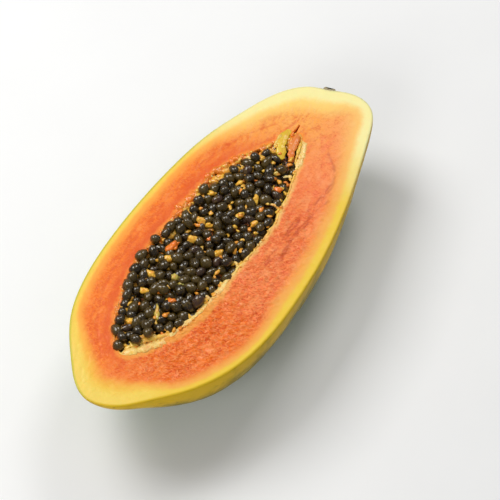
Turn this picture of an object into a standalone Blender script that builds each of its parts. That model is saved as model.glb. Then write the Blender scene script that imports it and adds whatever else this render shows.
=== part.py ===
"""Half of a papaya, cut lengthwise, lying on its skin with the cut face up.

Run it with blender --background --python part.py, or from Blender's text editor. Metres, +Z up.
+X points from the blossom tip to the stem end. The origin is under the middle of the half, on the
surface that it lies on.
"""

import math

import bmesh
import bpy
import numpy as np
from mathutils import Matrix, Vector

MM = 0.001

# The fruit. The edge of the cut face is a smooth closed curve through these places, in millimetres:
# from the blossom tip along the left side to the stem, and back along the right side.
CUT_EDGE = (
    (-139.6, 0.5), (-135, 12), (-123, 25), (-102, 42.5), (-76, 53.3), (-43, 59.3), (-6, 61.8),
    (30, 61.3), (60, 58), (84, 51.8), (112, 41.6), (126.5, 30.5), (134.9, 16.3), (139.2, 4.5),
    (140.1, -5.8), (135.6, -15.8), (123, -23.6), (104, -31.3), (66.5, -44.9), (30, -54.8), (-6, -60.4),
    (-40, -62.3), (-72, -57.8), (-101, -44.2), (-120, -29.5), (-132.5, -18), (-138, -8.5),
)  # fmt: skip
STEM_PLACE = 12  # which of those places the stem grew from
AXIS_DROP = 5.0  # the knife passed this far above the fruit's own axis
CUT_HEIGHT = 66.0  # the cut face above the surface that the half lies on
MIDDLE = (0.3, -0.15)  # of the box round the half, where the origin goes
FLAT_SAG = 1.2  # how much the flesh gives where it rests, which makes the flat spot
DEPTH_LEAN = 0.11  # the stem half is deeper than a turned shape would be, by this share at its end
LOBES = 5
LOBE_HEIGHT = 0.010  # share of the radius
SKIN_STATIONS = 40
SKIN_ARC = 26

# The scar that the stem left, in a shallow dimple.
DIMPLE_DEPTH = 1.6
DIMPLE_WIDTH = 9.0
SCAR_RADIUS = 5.4
SCAR_PROUD = 1.5
SCAR_ROOT = 4.0
SCAR_SIDES = 16

# The seed cavity, with the same rule as the cut edge.
CAVITY_EDGE = (
    (-102.1, 2.5), (-93, 15.5), (-73, 27), (-51, 34.5), (-13, 37.5), (25, 38.5), (53, 33.5),
    (74.5, 22.5), (93.5, 11), (81, 0.5), (58.5, -7.8), (29, -16), (-3, -18.5), (-43, -18.5),
    (-69, -16), (-88, -6.8),
)  # fmt: skip
CAVITY_END = 8
CAVITY_DEPTH_SHARE = 0.92  # of the half width of the cavity
CAVITY_STATIONS = 26
CAVITY_ARC = 10
CUTTER_RISE = 6.0

# The split in the flesh at the stem end of the cavity.
SPLIT_START = (86.0, 10.5)
SPLIT_END = (101.0, 15.5)
SPLIT_WIDTH = 1.7
SPLIT_DEPTH = 5.0

# The placenta: the yellow lining that the seeds grow from, with a fringe of torn stalks.
GAP = 0.4  # between one piece and the next
LINING = 2.1
LINING_WAVE = 0.5
LINING_BELOW = 0.25  # its edge is under the cut face
FRINGE_COUNT = 26
FRINGE_LENGTH = (3.5, 6.5)
FRINGE_RADIUS = 1.15
FRINGE_RISE = (0.3, 1.6)
STRANDS = (  # the two long ones that the split lies between: root, middle, tip
    ((86.0, 15.0), (79.0, 15.8), (69.0, 15.4)),
    ((87.0, 7.5), (80.0, 4.4), (69.5, -0.2)),
)
STRAND_RADIUS = 1.9

# The seeds, on a bed of torn tissue that they stand out of.
SEED_AXES = (3.8, 3.2, 3.1)  # half axes of one seed with its skin
SEED_COUNT = 150
SEED_SPACING = 6.6
SEED_WALL = 3.7  # a seed's centre from the lining
SEED_SEED = 11
SEED_SIDES = 6
SEED_RINGS = 4
BED_EDGE_DROP = 3.6  # the bed's top under the cut face at the lining
BED_MIDDLE_DROP = 2.6
BED_SLOPE = 8.0
BED_INSET = 1.3
BED_ENDS = (4, 5)  # stations left out at the blossom and stem ends, where the cavity closes up
BED_UNDER = 1.0  # its underside from the lining's bottom
BED_THIN = 0.6
SEED_LOW, SEED_HIGH = -1.3, 1.7  # centres of the seeds from the bed's top
BIT_RISE = 0.8

# Yellow stalks and pale seeds that never grew, lying among the seeds: x, y, length, width, heading.
LOOSE_BITS = (
    (-81, 11.5, 6.0, 3.6, -45), (-59, 19, 6.0, 3.8, -68), (-47, 22.5, 6.5, 3.8, 90),
    (-31, 20.5, 6.0, 3.6, -45), (-22.5, 24, 9.0, 4.2, -12), (-11.5, 17.5, 5.6, 4.4, -53),
    (3, 22, 5.8, 4.4, 90), (3, 15.5, 5.0, 3.2, -63), (-5, 8.5, 5.2, 3.4, -63), (-66.5, 3, 9.0, 2.8, 36),
    (-55, 0.5, 5.2, 3.8, -63), (-40, 9, 4.6, 4.2, -56), (-42, 3.5, 4.8, 3.8, 34),
    (-10, -1.5, 5.0, 3.6, -27), (-53, 10, 5.4, 3.2, -68), (20.5, 4, 4.6, 3.4, -18),
    (36.5, 4, 6.0, 3.4, 31), (63.5, 19, 4.6, 3.4, -72), (59.5, 4.5, 4.4, 3.2, -63),
    (20.5, -6.5, 5.0, 3.4, -63), (50, -3, 5.0, 3.4, 90), (-78, 1.5, 5.2, 3.2, 27), (23.5, 28.5, 5.0, 3.2, -45),
)  # fmt: skip


class ClosedCurve:
    """A smooth closed curve through places in a plane: cubic spans whose knots are the chord lengths."""

    def __init__(self, places):
        self.places = np.array(places, float)
        chords = np.roll(self.places, -1, axis=0) - self.places
        self.steps = np.hypot(*chords.T)
        self.knots = np.concatenate([[0.0], np.cumsum(self.steps)])
        slopes = chords / self.steps[:, None]
        before = np.roll(self.steps, 1)
        count = len(self.places)
        matrix = np.zeros((count, count))
        here = np.arange(count)
        matrix[here, here] = 2 * (before + self.steps)
        matrix[here, here - 1] = before
        matrix[here, (here + 1) % count] = self.steps
        self.bends = np.linalg.solve(matrix, 6 * (slopes - np.roll(slopes, 1, axis=0)))

    def at(self, lengths):
        """Places on the curve at these chord lengths from its first place, and the inward normals there."""
        lengths = np.asarray(lengths, float) % self.knots[-1]
        span = np.clip(np.searchsorted(self.knots, lengths, side="right") - 1, 0, len(self.places) - 1)
        after = (span + 1) % len(self.places)
        step = self.steps[span][:, None]
        far = (lengths - self.knots[span])[:, None]
        near = step - far
        bend_0, bend_1 = self.bends[span], self.bends[after]
        place_0, place_1 = self.places[span], self.places[after]
        line_0 = place_0 / step - bend_0 * step / 6
        line_1 = place_1 / step - bend_1 * step / 6
        places = (bend_0 * near**3 + bend_1 * far**3) / (6 * step) + line_0 * near + line_1 * far
        along = (bend_1 * far**2 - bend_0 * near**2) / (2 * step) - line_0 + line_1
        along /= np.hypot(*along.T)[:, None]
        return places, np.stack([along[:, 1], -along[:, 0]], axis=1)

    def sides(self, end, shares, inset=0.0):
        """The left and right edges at these shares of the way from the first place to the one numbered end."""
        turn = self.knots[end]
        left, left_in = self.at(shares * turn)
        right, right_in = self.at(self.knots[-1] - shares * (self.knots[-1] - turn))
        return left + inset * left_in, right + inset * right_in


def eased(count):
    """Shares from 0 to 1, close together at both ends, where an outline is blunt."""
    return (1 - np.cos(np.linspace(0, math.pi, count + 1))) / 2


def trough(left, right, arc, depth_share, drop_angle=0.0):
    """Grid of points, station by station, on arcs that hang from the left edge to the right edge.

    An arc is part of a circle round an axis below the cut face by drop_angle, stretched by depth_share.
    """
    middle = (left + right) / 2
    across = (left - right) / 2
    radius = np.hypot(*across.T) / math.cos(drop_angle)
    turn = np.linspace(-drop_angle, math.pi + drop_angle, arc + 1)
    sideways = np.cos(turn) / math.cos(drop_angle)
    down = (np.sin(turn) + math.sin(drop_angle)) * depth_share
    flat = middle[:, None, :] + across[:, None, :] * sideways[None, :, None]
    depth = -radius[:, None] * down[None, :]
    return np.concatenate([flat, depth[:, :, None]], axis=2)


def skin_grid(stations, arc):
    """Points of the papaya's skin below the cut face, from the blossom tip to the stem scar."""
    edge = ClosedCurve(CUT_EDGE)
    left, right = edge.sides(STEM_PLACE, eased(stations))
    half_width = max(y for _, y in CUT_EDGE)
    drop_angle = math.asin(AXIS_DROP / half_width)
    grid = trough(left, right, arc, 1.0, drop_angle)
    turn = np.linspace(0, math.pi, arc + 1)
    lobe = 1 + LOBE_HEIGHT * np.sin(turn) * np.cos(LOBES * (turn - math.pi / 2))
    middle = ((left + right) / 2)[:, None, :]
    grid[:, :, :2] = middle + (grid[:, :, :2] - middle) * lobe[None, :, None]
    length = np.ptp(left[:, 0])
    grid[:, :, 2] *= lobe[None, :] * (1 + 2 * DEPTH_LEAN * grid[:, :, 0] / length)
    scar = np.array([*CUT_EDGE[STEM_PLACE], 0.0])
    away = np.linalg.norm(grid - scar, axis=2)
    grid[:, :, 0] -= DIMPLE_DEPTH * np.exp(-((away / DIMPLE_WIDTH) ** 2))
    grid[:, :, 2] *= (CUT_HEIGHT + FLAT_SAG) / -grid[:, :, 2].min()
    grid[:, :, 2] = np.maximum(grid[:, :, 2], -CUT_HEIGHT)
    return grid


def cavity_sides(stations, inset=0.0, wave=0.0):
    """Left and right edges of the seed cavity, drawn in by inset, with a ragged wave on it."""
    shares = eased(stations)
    edge = ClosedCurve(CAVITY_EDGE)
    left, right = edge.sides(CAVITY_END, shares, inset)
    if wave:
        ripple = wave * np.sin(math.pi * shares)
        left_in = edge.sides(CAVITY_END, shares, 1.0)[0] - edge.sides(CAVITY_END, shares)[0]
        right_in = edge.sides(CAVITY_END, shares, 1.0)[1] - edge.sides(CAVITY_END, shares)[1]
        left = left + left_in * (ripple * np.sin(31 * shares))[:, None]
        right = right + right_in * (ripple * np.sin(37 * shares + 1))[:, None]
    return left, right


def cavity_grid(inset=0.0, wave=0.0, fineness=1):
    """Points of the cavity's wall, or of a surface inside it by inset."""
    left, right = cavity_sides(CAVITY_STATIONS * fineness, inset, wave)
    return trough(left, right, CAVITY_ARC * fineness, CAVITY_DEPTH_SHARE)


def material(name, colour, roughness):
    """A plain finish."""
    made = bpy.data.materials.new(name)
    made.use_nodes = True
    shader = made.node_tree.nodes["Principled BSDF"]
    shader.inputs["Base Color"].default_value = (*colour, 1)
    shader.inputs["Roughness"].default_value = roughness
    shader.inputs["Metallic"].default_value = 0.0
    made.diffuse_color = (*colour, 1)
    return made


def add_object(name, bm, finish=None):
    """A smooth-shaded object from a bmesh in millimetres, measured from the cut face."""
    bmesh.ops.remove_doubles(bm, verts=bm.verts, dist=0.005)
    bmesh.ops.recalc_face_normals(bm, faces=bm.faces)
    if bm.calc_volume(signed=True) < 0:
        bmesh.ops.reverse_faces(bm, faces=bm.faces)
    place = Matrix.Translation((-MIDDLE[0], -MIDDLE[1], CUT_HEIGHT))
    bmesh.ops.transform(bm, matrix=Matrix.Scale(MM, 4) @ place, verts=bm.verts)
    mesh = bpy.data.meshes.new(name)
    bm.to_mesh(mesh)
    bm.free()
    mesh.shade_smooth()
    mesh.set_sharp_from_angle(angle=math.radians(50))
    made = bpy.data.objects.new(name, mesh)
    bpy.context.collection.objects.link(made)
    if finish:
        mesh.materials.append(finish)
    return made


def add_grid(bm, grid):
    """Vertices and quads of a grid of points."""
    rows = [[bm.verts.new(point) for point in row] for row in grid]
    for row, after in zip(rows, rows[1:]):
        for near, far, far_after, near_after in zip(row, row[1:], after[1:], after):
            bm.faces.new((near, far, far_after, near_after))
    return rows


def ring_of(rows):
    """The grid's rim, once round: the left edge out and the right edge back."""
    return [row[0] for row in rows] + [row[-1] for row in rows[-2:0:-1]]


def hide_tool(cutter):
    """A cutter isn't part of the object."""
    cutter.hide_render = True
    cutter.display_type = "WIRE"


def cut(body, cutter, operation="DIFFERENCE"):
    """A live Boolean on the body."""
    modifier = body.modifiers.new(cutter.name, "BOOLEAN")
    modifier.operation = operation
    modifier.object = cutter
    modifier.solver = "EXACT"
    hide_tool(cutter)


def join_repeats(body, repeats):
    """One union of the body and its repeats, applied, with the repeats then removed."""
    group = bpy.data.collections.new(body.name + "_repeats")
    for piece in repeats:
        bpy.context.collection.objects.unlink(piece)
        group.objects.link(piece)
    bpy.context.scene.collection.children.link(group)
    modifier = body.modifiers.new("repeats", "BOOLEAN")
    modifier.operation = "UNION"
    modifier.operand_type = "COLLECTION"
    modifier.collection = group
    modifier.solver = "MANIFOLD"
    bpy.context.view_layer.update()
    whole = bpy.data.meshes.new_from_object(body.evaluated_get(bpy.context.evaluated_depsgraph_get()))
    body.modifiers.clear()
    body.data = whole
    for piece in repeats:
        bpy.data.objects.remove(piece)
    bpy.data.collections.remove(group)


def build_fruit(finish):
    """Flesh and skin in one piece: the turned outside, the flat cut and the hollow of the seed cavity."""
    bm = bmesh.new()
    rows = add_grid(bm, skin_grid(SKIN_STATIONS, SKIN_ARC))
    bm.faces.new(ring_of(rows))
    fruit = add_object("flesh_and_skin", bm, finish)
    cut(fruit, build_scar(), "UNION")
    cut(fruit, build_cavity_cutter())
    cut(fruit, build_split_cutter())
    return fruit


def build_cavity_cutter():
    """The seed cavity as a solid, standing above the cut face."""
    bm = bmesh.new()
    rows = add_grid(bm, cavity_grid())
    rim = ring_of(rows)
    raised = [bm.verts.new(vertex.co + Vector((0, 0, CUTTER_RISE))) for vertex in rim]
    for here in range(len(rim)):
        after = (here + 1) % len(rim)
        bm.faces.new((rim[here], rim[after], raised[after], raised[here]))
    bm.faces.new(raised)
    return add_object("cavity_cutter", bm)


def build_split_cutter():
    """A thin wedge, open to the cavity and closing to nothing in the flesh."""
    start, end = Vector((*SPLIT_START, 0)), Vector((*SPLIT_END, 0))
    along = (end - start).normalized()
    across = Vector((-along.y, along.x, 0)) * SPLIT_WIDTH / 2
    widest = start.lerp(end, 0.35)
    plan = (start + across * 0.6, widest + across, end, widest - across, start - across * 0.6)
    up, down = Vector((0, 0, 2)), Vector((0, 0, -SPLIT_DEPTH))
    bm = bmesh.new()
    top = [bm.verts.new(place + up) for place in plan]
    bottom = [bm.verts.new(place + down * (1.0 if place != end else 0.3)) for place in plan]
    bm.faces.new(top)
    bm.faces.new(bottom[::-1])
    for here in range(len(plan)):
        after = (here + 1) % len(plan)
        bm.faces.new((top[here], bottom[here], bottom[after], top[after]))
    return add_object("split_cutter", bm)


def build_scar():
    """Corky remains of the stem: a short ragged stub, cut in half with the fruit."""
    rng = np.random.default_rng(5)
    bm = bmesh.new()
    bmesh.ops.create_cone(
        bm, cap_ends=True, segments=SCAR_SIDES, radius1=SCAR_RADIUS, radius2=SCAR_RADIUS * 0.8,
        depth=SCAR_PROUD + SCAR_ROOT,
    )  # fmt: skip
    bmesh.ops.rotate(bm, cent=(0, 0, 0), matrix=Matrix.Rotation(math.pi / 2, 3, "Y"), verts=bm.verts)
    for vertex in bm.verts:
        if vertex.co.x > 0:
            vertex.co.x += rng.uniform(-0.4, 0.8)
            vertex.co.yz *= 1 + rng.uniform(-0.14, 0.1)
    scar_x, scar_y = CUT_EDGE[STEM_PLACE]
    outward = math.radians(22)  # the cut edge leans across the stem here
    bmesh.ops.rotate(bm, cent=(0, 0, 0), matrix=Matrix.Rotation(outward, 3, "Z"), verts=bm.verts)
    shift = (SCAR_PROUD - SCAR_ROOT) / 2 - DIMPLE_DEPTH
    bmesh.ops.translate(
        bm, vec=(scar_x + shift * math.cos(outward), scar_y + shift * math.sin(outward), 0), verts=bm.verts
    )
    half = bmesh.ops.bisect_plane(
        bm, geom=bm.verts[:] + bm.edges[:] + bm.faces[:], plane_co=(0, 0, -0.15), plane_no=(0, 0, 1),
        clear_outer=True,
    )  # fmt: skip
    bmesh.ops.contextual_create(bm, geom=[g for g in half["geom_cut"] if isinstance(g, bmesh.types.BMEdge)])
    return add_object("stem_scar", bm)


def fringe_strands():
    """Centre lines and radii of the torn stalks that lean in from the lining's edge, evenly placed and jittered."""
    rng = np.random.default_rng(3)
    edge = ClosedCurve(CAVITY_EDGE)
    whole = edge.knots[-1]
    strands = []
    for number in range(FRINGE_COUNT):
        length_along = (number + rng.uniform(-0.3, 0.3)) * whole / FRINGE_COUNT
        place, inward = (value[0] for value in edge.at([length_along]))
        lean = rng.uniform(-0.6, 0.6)
        turned = np.array([
            inward[0] * math.cos(lean) - inward[1] * math.sin(lean),
            inward[0] * math.sin(lean) + inward[1] * math.cos(lean),
        ])
        reach = rng.uniform(*FRINGE_LENGTH)
        rise = rng.uniform(*FRINGE_RISE)
        root = place + inward * (GAP + LINING * 0.62)
        far_end = root + turned * reach
        nearest_end = np.hypot(*(edge.places[[0, CAVITY_END]] - far_end).T).min()
        if nearest_end < 13:  # the lining closes up at both ends of the cavity
            continue
        line = np.array([
            [*root, -1.0],
            [*((root + far_end) / 2 + turned[::-1] * (0.6, -0.6)), -1.0 + 0.75 * rise + 0.5],
            [*far_end, -1.0 + rise],
        ])
        strands.append((line, FRINGE_RADIUS * rng.uniform(0.8, 1.05)))
    for root, middle, tip in STRANDS:
        strands.append((np.array([[*root, -1.4], [*middle, -0.4], [*tip, 0.2]]), STRAND_RADIUS))
    return strands


def add_strand(bm, line, radius, sides=5):
    """A tapering stalk along a centre line, blunt at its root."""
    rings = []
    for place, ahead, share in zip(line, (line[1] - line[0], line[2] - line[0], line[2] - line[1]), (1, 0.8, 0.4)):
        forward = Vector(ahead).normalized()
        side = forward.cross(Vector((0, 0, 1))).normalized()
        over = side.cross(forward)
        turns = [2 * math.pi * n / sides for n in range(sides)]
        rings.append([
            bm.verts.new(Vector(place) + radius * share * (side * math.cos(t) + over * math.sin(t))) for t in turns
        ])
    for ring, after in zip(rings, rings[1:]):
        for n in range(sides):
            bm.faces.new((ring[n], ring[(n + 1) % sides], after[(n + 1) % sides], after[n]))
    bm.faces.new(rings[0][::-1])
    bm.faces.new(rings[-1])


def build_placenta(finish):
    """The lining as a bowl between two surfaces inside the cavity's wall, with its fringe."""
    outer = cavity_grid(GAP)
    inner = cavity_grid(GAP + LINING, LINING_WAVE)
    for surface in (outer, inner):
        surface[:, :, 2] = np.minimum(surface[:, :, 2], -LINING_BELOW)
    bm = bmesh.new()
    outer_rim = ring_of(add_grid(bm, outer))
    inner_rim = ring_of(add_grid(bm, inner))
    for here in range(len(outer_rim)):
        after = (here + 1) % len(outer_rim)
        bm.faces.new((outer_rim[here], outer_rim[after], inner_rim[after], inner_rim[here]))
    lining = add_object("placenta", bm, finish)
    stalks = []
    for line, radius in fringe_strands():
        bm = bmesh.new()
        add_strand(bm, line, radius)
        stalks.append(add_object("stalk", bm))
    join_repeats(lining, stalks)
    return lining


def bed_top(clear):
    """Height of the bed's top from the cut face, where the lining is clear millimetres away."""
    share = np.clip(clear / BED_SLOPE, 0, 1)
    return -BED_EDGE_DROP + (BED_EDGE_DROP - BED_MIDDLE_DROP) * share * share * (3 - 2 * share)


def wall_samples():
    """Points on the lining's inside, with normals that point into the cavity."""
    grid = cavity_grid(GAP + LINING + LINING_WAVE, fineness=3)
    along = np.gradient(grid, axis=0)
    round_arc = np.gradient(grid, axis=1)
    normals = np.cross(round_arc, along)
    lengths = np.linalg.norm(normals, axis=2, keepdims=True)
    keep = lengths[:, :, 0] > 1e-6
    normals = normals / np.maximum(lengths, 1e-9)
    normals *= np.sign(normals[grid.shape[0] // 2, grid.shape[1] // 2, 2])
    return grid[keep], normals[keep]


def wall_push(places, samples, normals, margin):
    """How far, and which way, places have to move to be margin clear of the lining's inside."""
    away = places[:, None, :] - samples[None, :, :]
    nearest = (away**2).sum(axis=2).argmin(axis=1)
    here = np.arange(len(places))
    clear = (away[here, nearest] * normals[nearest]).sum(axis=1)
    return np.clip(margin - clear, 0, None)[:, None] * normals[nearest], clear


def seed_places():
    """Centres of the seeds, and how far each is from the lining: a loose heap, pushed apart.

    Each step moves two seeds that are too close apart by half of what they lack, then moves seeds off
    the lining, the stalks and the loose bits, then sets their heights again over the bed.
    """
    rng = np.random.default_rng(SEED_SEED)
    samples, normals = wall_samples()
    low, high = samples.min(axis=0), samples.max(axis=0)
    places = rng.uniform([low[0], low[1], -4], [high[0], high[1], 0], (SEED_COUNT * 4, 3))
    places = places[wall_push(places, samples, normals, SEED_WALL)[1] > SEED_WALL][:SEED_COUNT]
    level = rng.uniform(SEED_LOW, SEED_HIGH, len(places))
    obstacles, clearances = seed_obstacles()
    for _ in range(260):
        apart = places[:, None, :] - places[None, :, :]
        distance = np.linalg.norm(apart, axis=2) + np.eye(len(places)) * 1e3
        lack = np.clip(SEED_SPACING - distance, 0, None)
        places = places + 0.5 * (apart / distance[:, :, None] * lack[:, :, None]).sum(axis=1) * (1, 1, 0)
        apart = places[:, None, :] - obstacles[None, :, :]
        apart[:, :, 2] *= 0.3
        distance = np.linalg.norm(apart, axis=2)
        lack = np.clip(clearances[None, :] - distance, 0, None)
        places = places + (apart / distance[:, :, None] * lack[:, :, None]).sum(axis=1) * (1, 1, 0)
        push, clear = wall_push(places, samples, normals, SEED_WALL)
        places[:, :2] += push[:, :2]
        places[:, 2] = bed_top(clear) + level
    apart = places[:, None, :] - places[None, :, :]
    distance = np.linalg.norm(apart, axis=2) + np.eye(len(places)) * 1e3
    crowded = np.triu(distance < 0.72 * SEED_SPACING).any(axis=0)
    off_stalks = np.linalg.norm(places[:, None, :] - obstacles[None, :, :], axis=2) - clearances[None, :]
    clear = wall_push(places, samples, normals, SEED_WALL)[1]
    kept = ~crowded & (off_stalks.min(axis=1) > -0.12) & (clear > SEED_WALL - 0.12)
    return places[kept], clear[kept]


def seed_obstacles():
    """Places that seeds keep away from, and how far: along each stalk, and at each loose bit."""
    places, clearances = [], []
    for line, radius in fringe_strands():
        for share in (0.0, 0.25, 0.5, 0.75, 1.0):
            near, far = (line[0], line[1]) if share < 0.5 else (line[1], line[2])
            within = share * 2 % 1 if share < 1 else 1.0
            places.append(near + (far - near) * within)
            clearances.append(radius + SEED_AXES[0] + GAP + 0.25)
    for x, y, length, width, _ in LOOSE_BITS:
        places.append([x, y, -1.0])
        clearances.append(SEED_AXES[1] + 0.25 * (length + width) * 0.8)
    return np.array(places), np.array(clearances)


def add_seed(name, centre, axes, turn, sides=SEED_SIDES, rings=SEED_RINGS):
    """One egg-shaped seed."""
    bm = bmesh.new()
    bmesh.ops.create_uvsphere(bm, u_segments=sides, v_segments=rings, radius=1.0)
    stand = Matrix.Rotation(math.pi / 2, 4, "Y")
    shape = Matrix.Diagonal((*axes, 1))
    bmesh.ops.transform(
        bm, matrix=Matrix.Translation(centre) @ turn.to_4x4() @ shape @ stand, verts=bm.verts
    )
    return add_object(name, bm)


def build_bed(finish):
    """The torn tissue under the seeds: a trough in the lining, with a top that swells to the middle."""
    samples, normals = wall_samples()
    left, right = cavity_sides(CAVITY_STATIONS, 2 * GAP + LINING + BED_INSET)
    left, right = left[BED_ENDS[0] : -BED_ENDS[1]], right[BED_ENDS[0] : -BED_ENDS[1]]
    half_width = np.hypot(*(left - right).T) / 2
    depth = np.maximum(CAVITY_DEPTH_SHARE * half_width - BED_EDGE_DROP - BED_UNDER, BED_THIN)
    bottom = trough(left, right, CAVITY_ARC, 1.0)
    bottom[:, :, 2] = bottom[:, :, 2] * (depth / half_width)[:, None] - BED_EDGE_DROP
    shares = np.linspace(0, 1, CAVITY_ARC + 1)[None, :, None]
    top = left[:, None, :] * (1 - shares) + right[:, None, :] * shares
    top = np.concatenate([top, np.full(top.shape[:2] + (1,), -BED_EDGE_DROP)], axis=2)
    clear = wall_push(top.reshape(-1, 3), samples, normals, 0)[1].reshape(top.shape[:2])
    top[1:-1, 1:-1, 2] = bed_top(clear)[1:-1, 1:-1]
    bm = bmesh.new()
    upper = add_grid(bm, top)
    lower = add_grid(bm, bottom)
    for end in (0, -1):
        bm.faces.new(upper[end] + lower[end][-2:0:-1])
    return add_object("seeds", bm, finish)


def build_seeds(finish):
    """The heap of seeds, standing out of the bed of torn tissue that holds them together."""
    rng = np.random.default_rng(SEED_SEED + 1)
    bed = build_bed(finish)
    heap = []
    samples, normals = wall_samples()
    for centre, clear in zip(*seed_places()):
        inward = normals[((centre - samples) ** 2).sum(axis=1).argmin()]
        along_wall = math.atan2(inward[0], -inward[1]) + rng.uniform(-0.35, 0.35)
        anywhere = rng.uniform(0, 2 * math.pi)
        heading = along_wall if clear < SEED_AXES[0] + 2 * GAP else anywhere
        turn = Matrix.Rotation(heading, 3, "Z") @ Matrix.Rotation(rng.uniform(-0.5, 0.5), 3, "Y")
        size = rng.uniform(0.9, 1.0)
        heap.append(add_seed("seed", centre, [size * axis for axis in SEED_AXES], turn))
    for x, y, length, width, heading in LOOSE_BITS:
        turn = Matrix.Rotation(math.radians(heading), 3, "Z")
        clear = wall_push(np.array([[x, y, -BED_EDGE_DROP]]), samples, normals, 0)[1]
        centre = (x, y, bed_top(clear)[0] + BIT_RISE)
        heap.append(add_seed("bit", centre, (length / 2, width / 2, width / 2 + 0.6), turn, 5, 4))
    join_repeats(bed, heap)
    return bed


def build():
    """The whole half."""
    for thing in list(bpy.data.objects):
        bpy.data.objects.remove(thing)
    build_fruit(material("flesh", (0.90, 0.33, 0.10), 0.35))
    build_placenta(material("placenta", (0.92, 0.62, 0.20), 0.4))
    build_seeds(material("seeds", (0.035, 0.030, 0.018), 0.2))


build()
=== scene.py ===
"""Looks of the papaya half: a cut face of wet orange flesh, a torn placenta, glossy seeds and a waxy skin.

Lengths are in millimetres from the cut face until a mesh is made, and then in metres in the model's frame.
"""

import math

import bmesh
import bpy
import numpy as np
from bpy.props import FloatProperty, FloatVectorProperty, IntProperty, PointerProperty
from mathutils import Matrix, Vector


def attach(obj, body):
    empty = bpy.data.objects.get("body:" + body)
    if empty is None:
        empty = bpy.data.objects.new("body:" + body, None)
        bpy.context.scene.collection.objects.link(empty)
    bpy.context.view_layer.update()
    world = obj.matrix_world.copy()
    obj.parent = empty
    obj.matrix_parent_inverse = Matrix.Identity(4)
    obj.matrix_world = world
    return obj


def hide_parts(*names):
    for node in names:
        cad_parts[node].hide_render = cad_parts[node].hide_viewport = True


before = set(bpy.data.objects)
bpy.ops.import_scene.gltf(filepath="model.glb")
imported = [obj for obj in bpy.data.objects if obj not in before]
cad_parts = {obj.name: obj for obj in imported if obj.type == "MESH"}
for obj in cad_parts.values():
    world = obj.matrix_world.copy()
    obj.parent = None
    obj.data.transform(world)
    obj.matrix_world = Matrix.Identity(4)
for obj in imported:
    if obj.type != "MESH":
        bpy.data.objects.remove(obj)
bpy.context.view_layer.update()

bl_info = {
    "name": "Papaya Half",
    "version": (1, 0, 0),
    "blender": (4, 5, 0),
    "location": "3D View > Sidebar > Papaya",
    "description": "Builds the flesh, skin, placenta and seeds of a papaya half",
    "category": "Add Mesh",
}

# A millimetre in metres, how near two points are welded, and how many distances are worked out at once.
MM = 0.001
WELD = 0.0005
PLACES_AT_ONCE = 4000

# The edge of the cut face, from the blossom tip along the left side to the stem and back.
CUT_EDGE = (
    (-139.6, 0.5), (-135, 12), (-123, 25), (-102, 42.5), (-76, 53.3), (-43, 59.3), (-6, 61.8),
    (30, 61.3), (60, 58), (84, 51.8), (112, 41.6), (126.5, 30.5), (134.9, 16.3), (139.2, 4.5),
    (140.1, -5.8), (135.6, -15.8), (123, -23.6), (104, -31.3), (66.5, -44.9), (30, -54.8), (-6, -60.4),
    (-40, -62.3), (-72, -57.8), (-101, -44.2), (-120, -29.5), (-132.5, -18), (-138, -8.5),
)  # fmt: skip
STEM_PLACE = 12
CUT_HEIGHT = 66.0
MIDDLE = (0.3, -0.15)
AXIS_DROP = 5.0
FLAT_SAG = 1.2
DEPTH_LEAN = 0.11
TIP_RISE = 0.4
TIP_REACH = 60.0
LOBES = 5
LOBE_HEIGHT = 0.010
DIMPLE_DEPTH = 1.6
DIMPLE_WIDTH = 9.0
EDGE_ROLL = 0.4
FIBRE_SLANT = 0.93
SWELL_CENTRE = (0.0, 0.0, 10.0)
FIRST_ROW = 0.5

# The edge of the seed cavity, in the same order, and what grows in it.
CAVITY_EDGE = (
    (-102.1, 2.5), (-93, 15.5), (-73, 27), (-51, 34.5), (-13, 37.5), (25, 38.5), (53, 33.5),
    (74.5, 22.5), (93.5, 11), (81, 0.5), (58.5, -7.8), (29, -16), (-3, -18.5), (-43, -18.5),
    (-69, -16), (-88, -6.8),
)  # fmt: skip
CAVITY_END = 8
CAVITY_DEPTH_SHARE = 0.92
GAP = 0.4
LINING = 2.1
FRINGE_COUNT = 26
FRINGE_LENGTH = (3.5, 6.5)
FRINGE_RADIUS = 1.15
FRINGE_RISE = (0.3, 1.6)
FRINGE_END_GAP = 13
# Long strands: places along each, its radius, how pale from 0 to 1, and how green.
LONG_STRANDS = (
    (((94, 17.6, -1.0), (88, 18.0, 0.4), (82, 16.8, 0.8), (77, 13.8, 0.7), (71, 9.0, -1.6)), 3.1, 0.5, 0.7),
    (((91, 19.8, -0.8), (86, 19.8, 0.4), (80, 19.4, 0.9), (74, 17.0, -1.0)), 1.2, 0.7, 0.3),
    (((96, 12.6, -1.4), (90, 11.0, -0.1), (84, 9.2, 0.1), (78, 6.6, 0.0), (73, 2.4, -1.6)), 2.5, 0.05, 0.0),
    (((94, 8.6, -1.6), (89, 5.0, -0.6), (82, 1.0, -0.5), (75, -2.0, -0.5), (67, -5.0, -1.4)), 2.4, 0.8, 0.0),
    (((91, 7.6, -1.0), (86, 5.2, 0.5), (79, 2.6, 0.4), (73, 0.2, -0.8)), 0.9, 0.6, 0.25),
    (
        ((-103, 2.6, -1.2), (-99, -0.4, -0.2), (-91, -6.4, 0.0), (-83, -11.8, 0.0), (-76, -15.0, -1.0)),
        2.5, 0.75, 0.0,
    ),
    (
        ((-99, 3.4, -0.9), (-94, 0.6, 0.5), (-87, -3.6, 0.6), (-79, -9.0, 0.4), (-73, -13.2, -0.9)),
        1.6, 0.6, 0.1,
    ),
    (((-95, 4.0, -0.9), (-90, 1.6, 0.6), (-85, -1.8, 0.8), (-79, -6.4, -0.9)), 1.5, 0.45, 0.1),
    (((-87, -3.0, -0.6), (-83, -1.6, 1.0), (-80, 1.6, 1.2), (-78, 3.6, 0.2)), 0.9, 0.7, 0.0),
)  # fmt: skip
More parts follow.
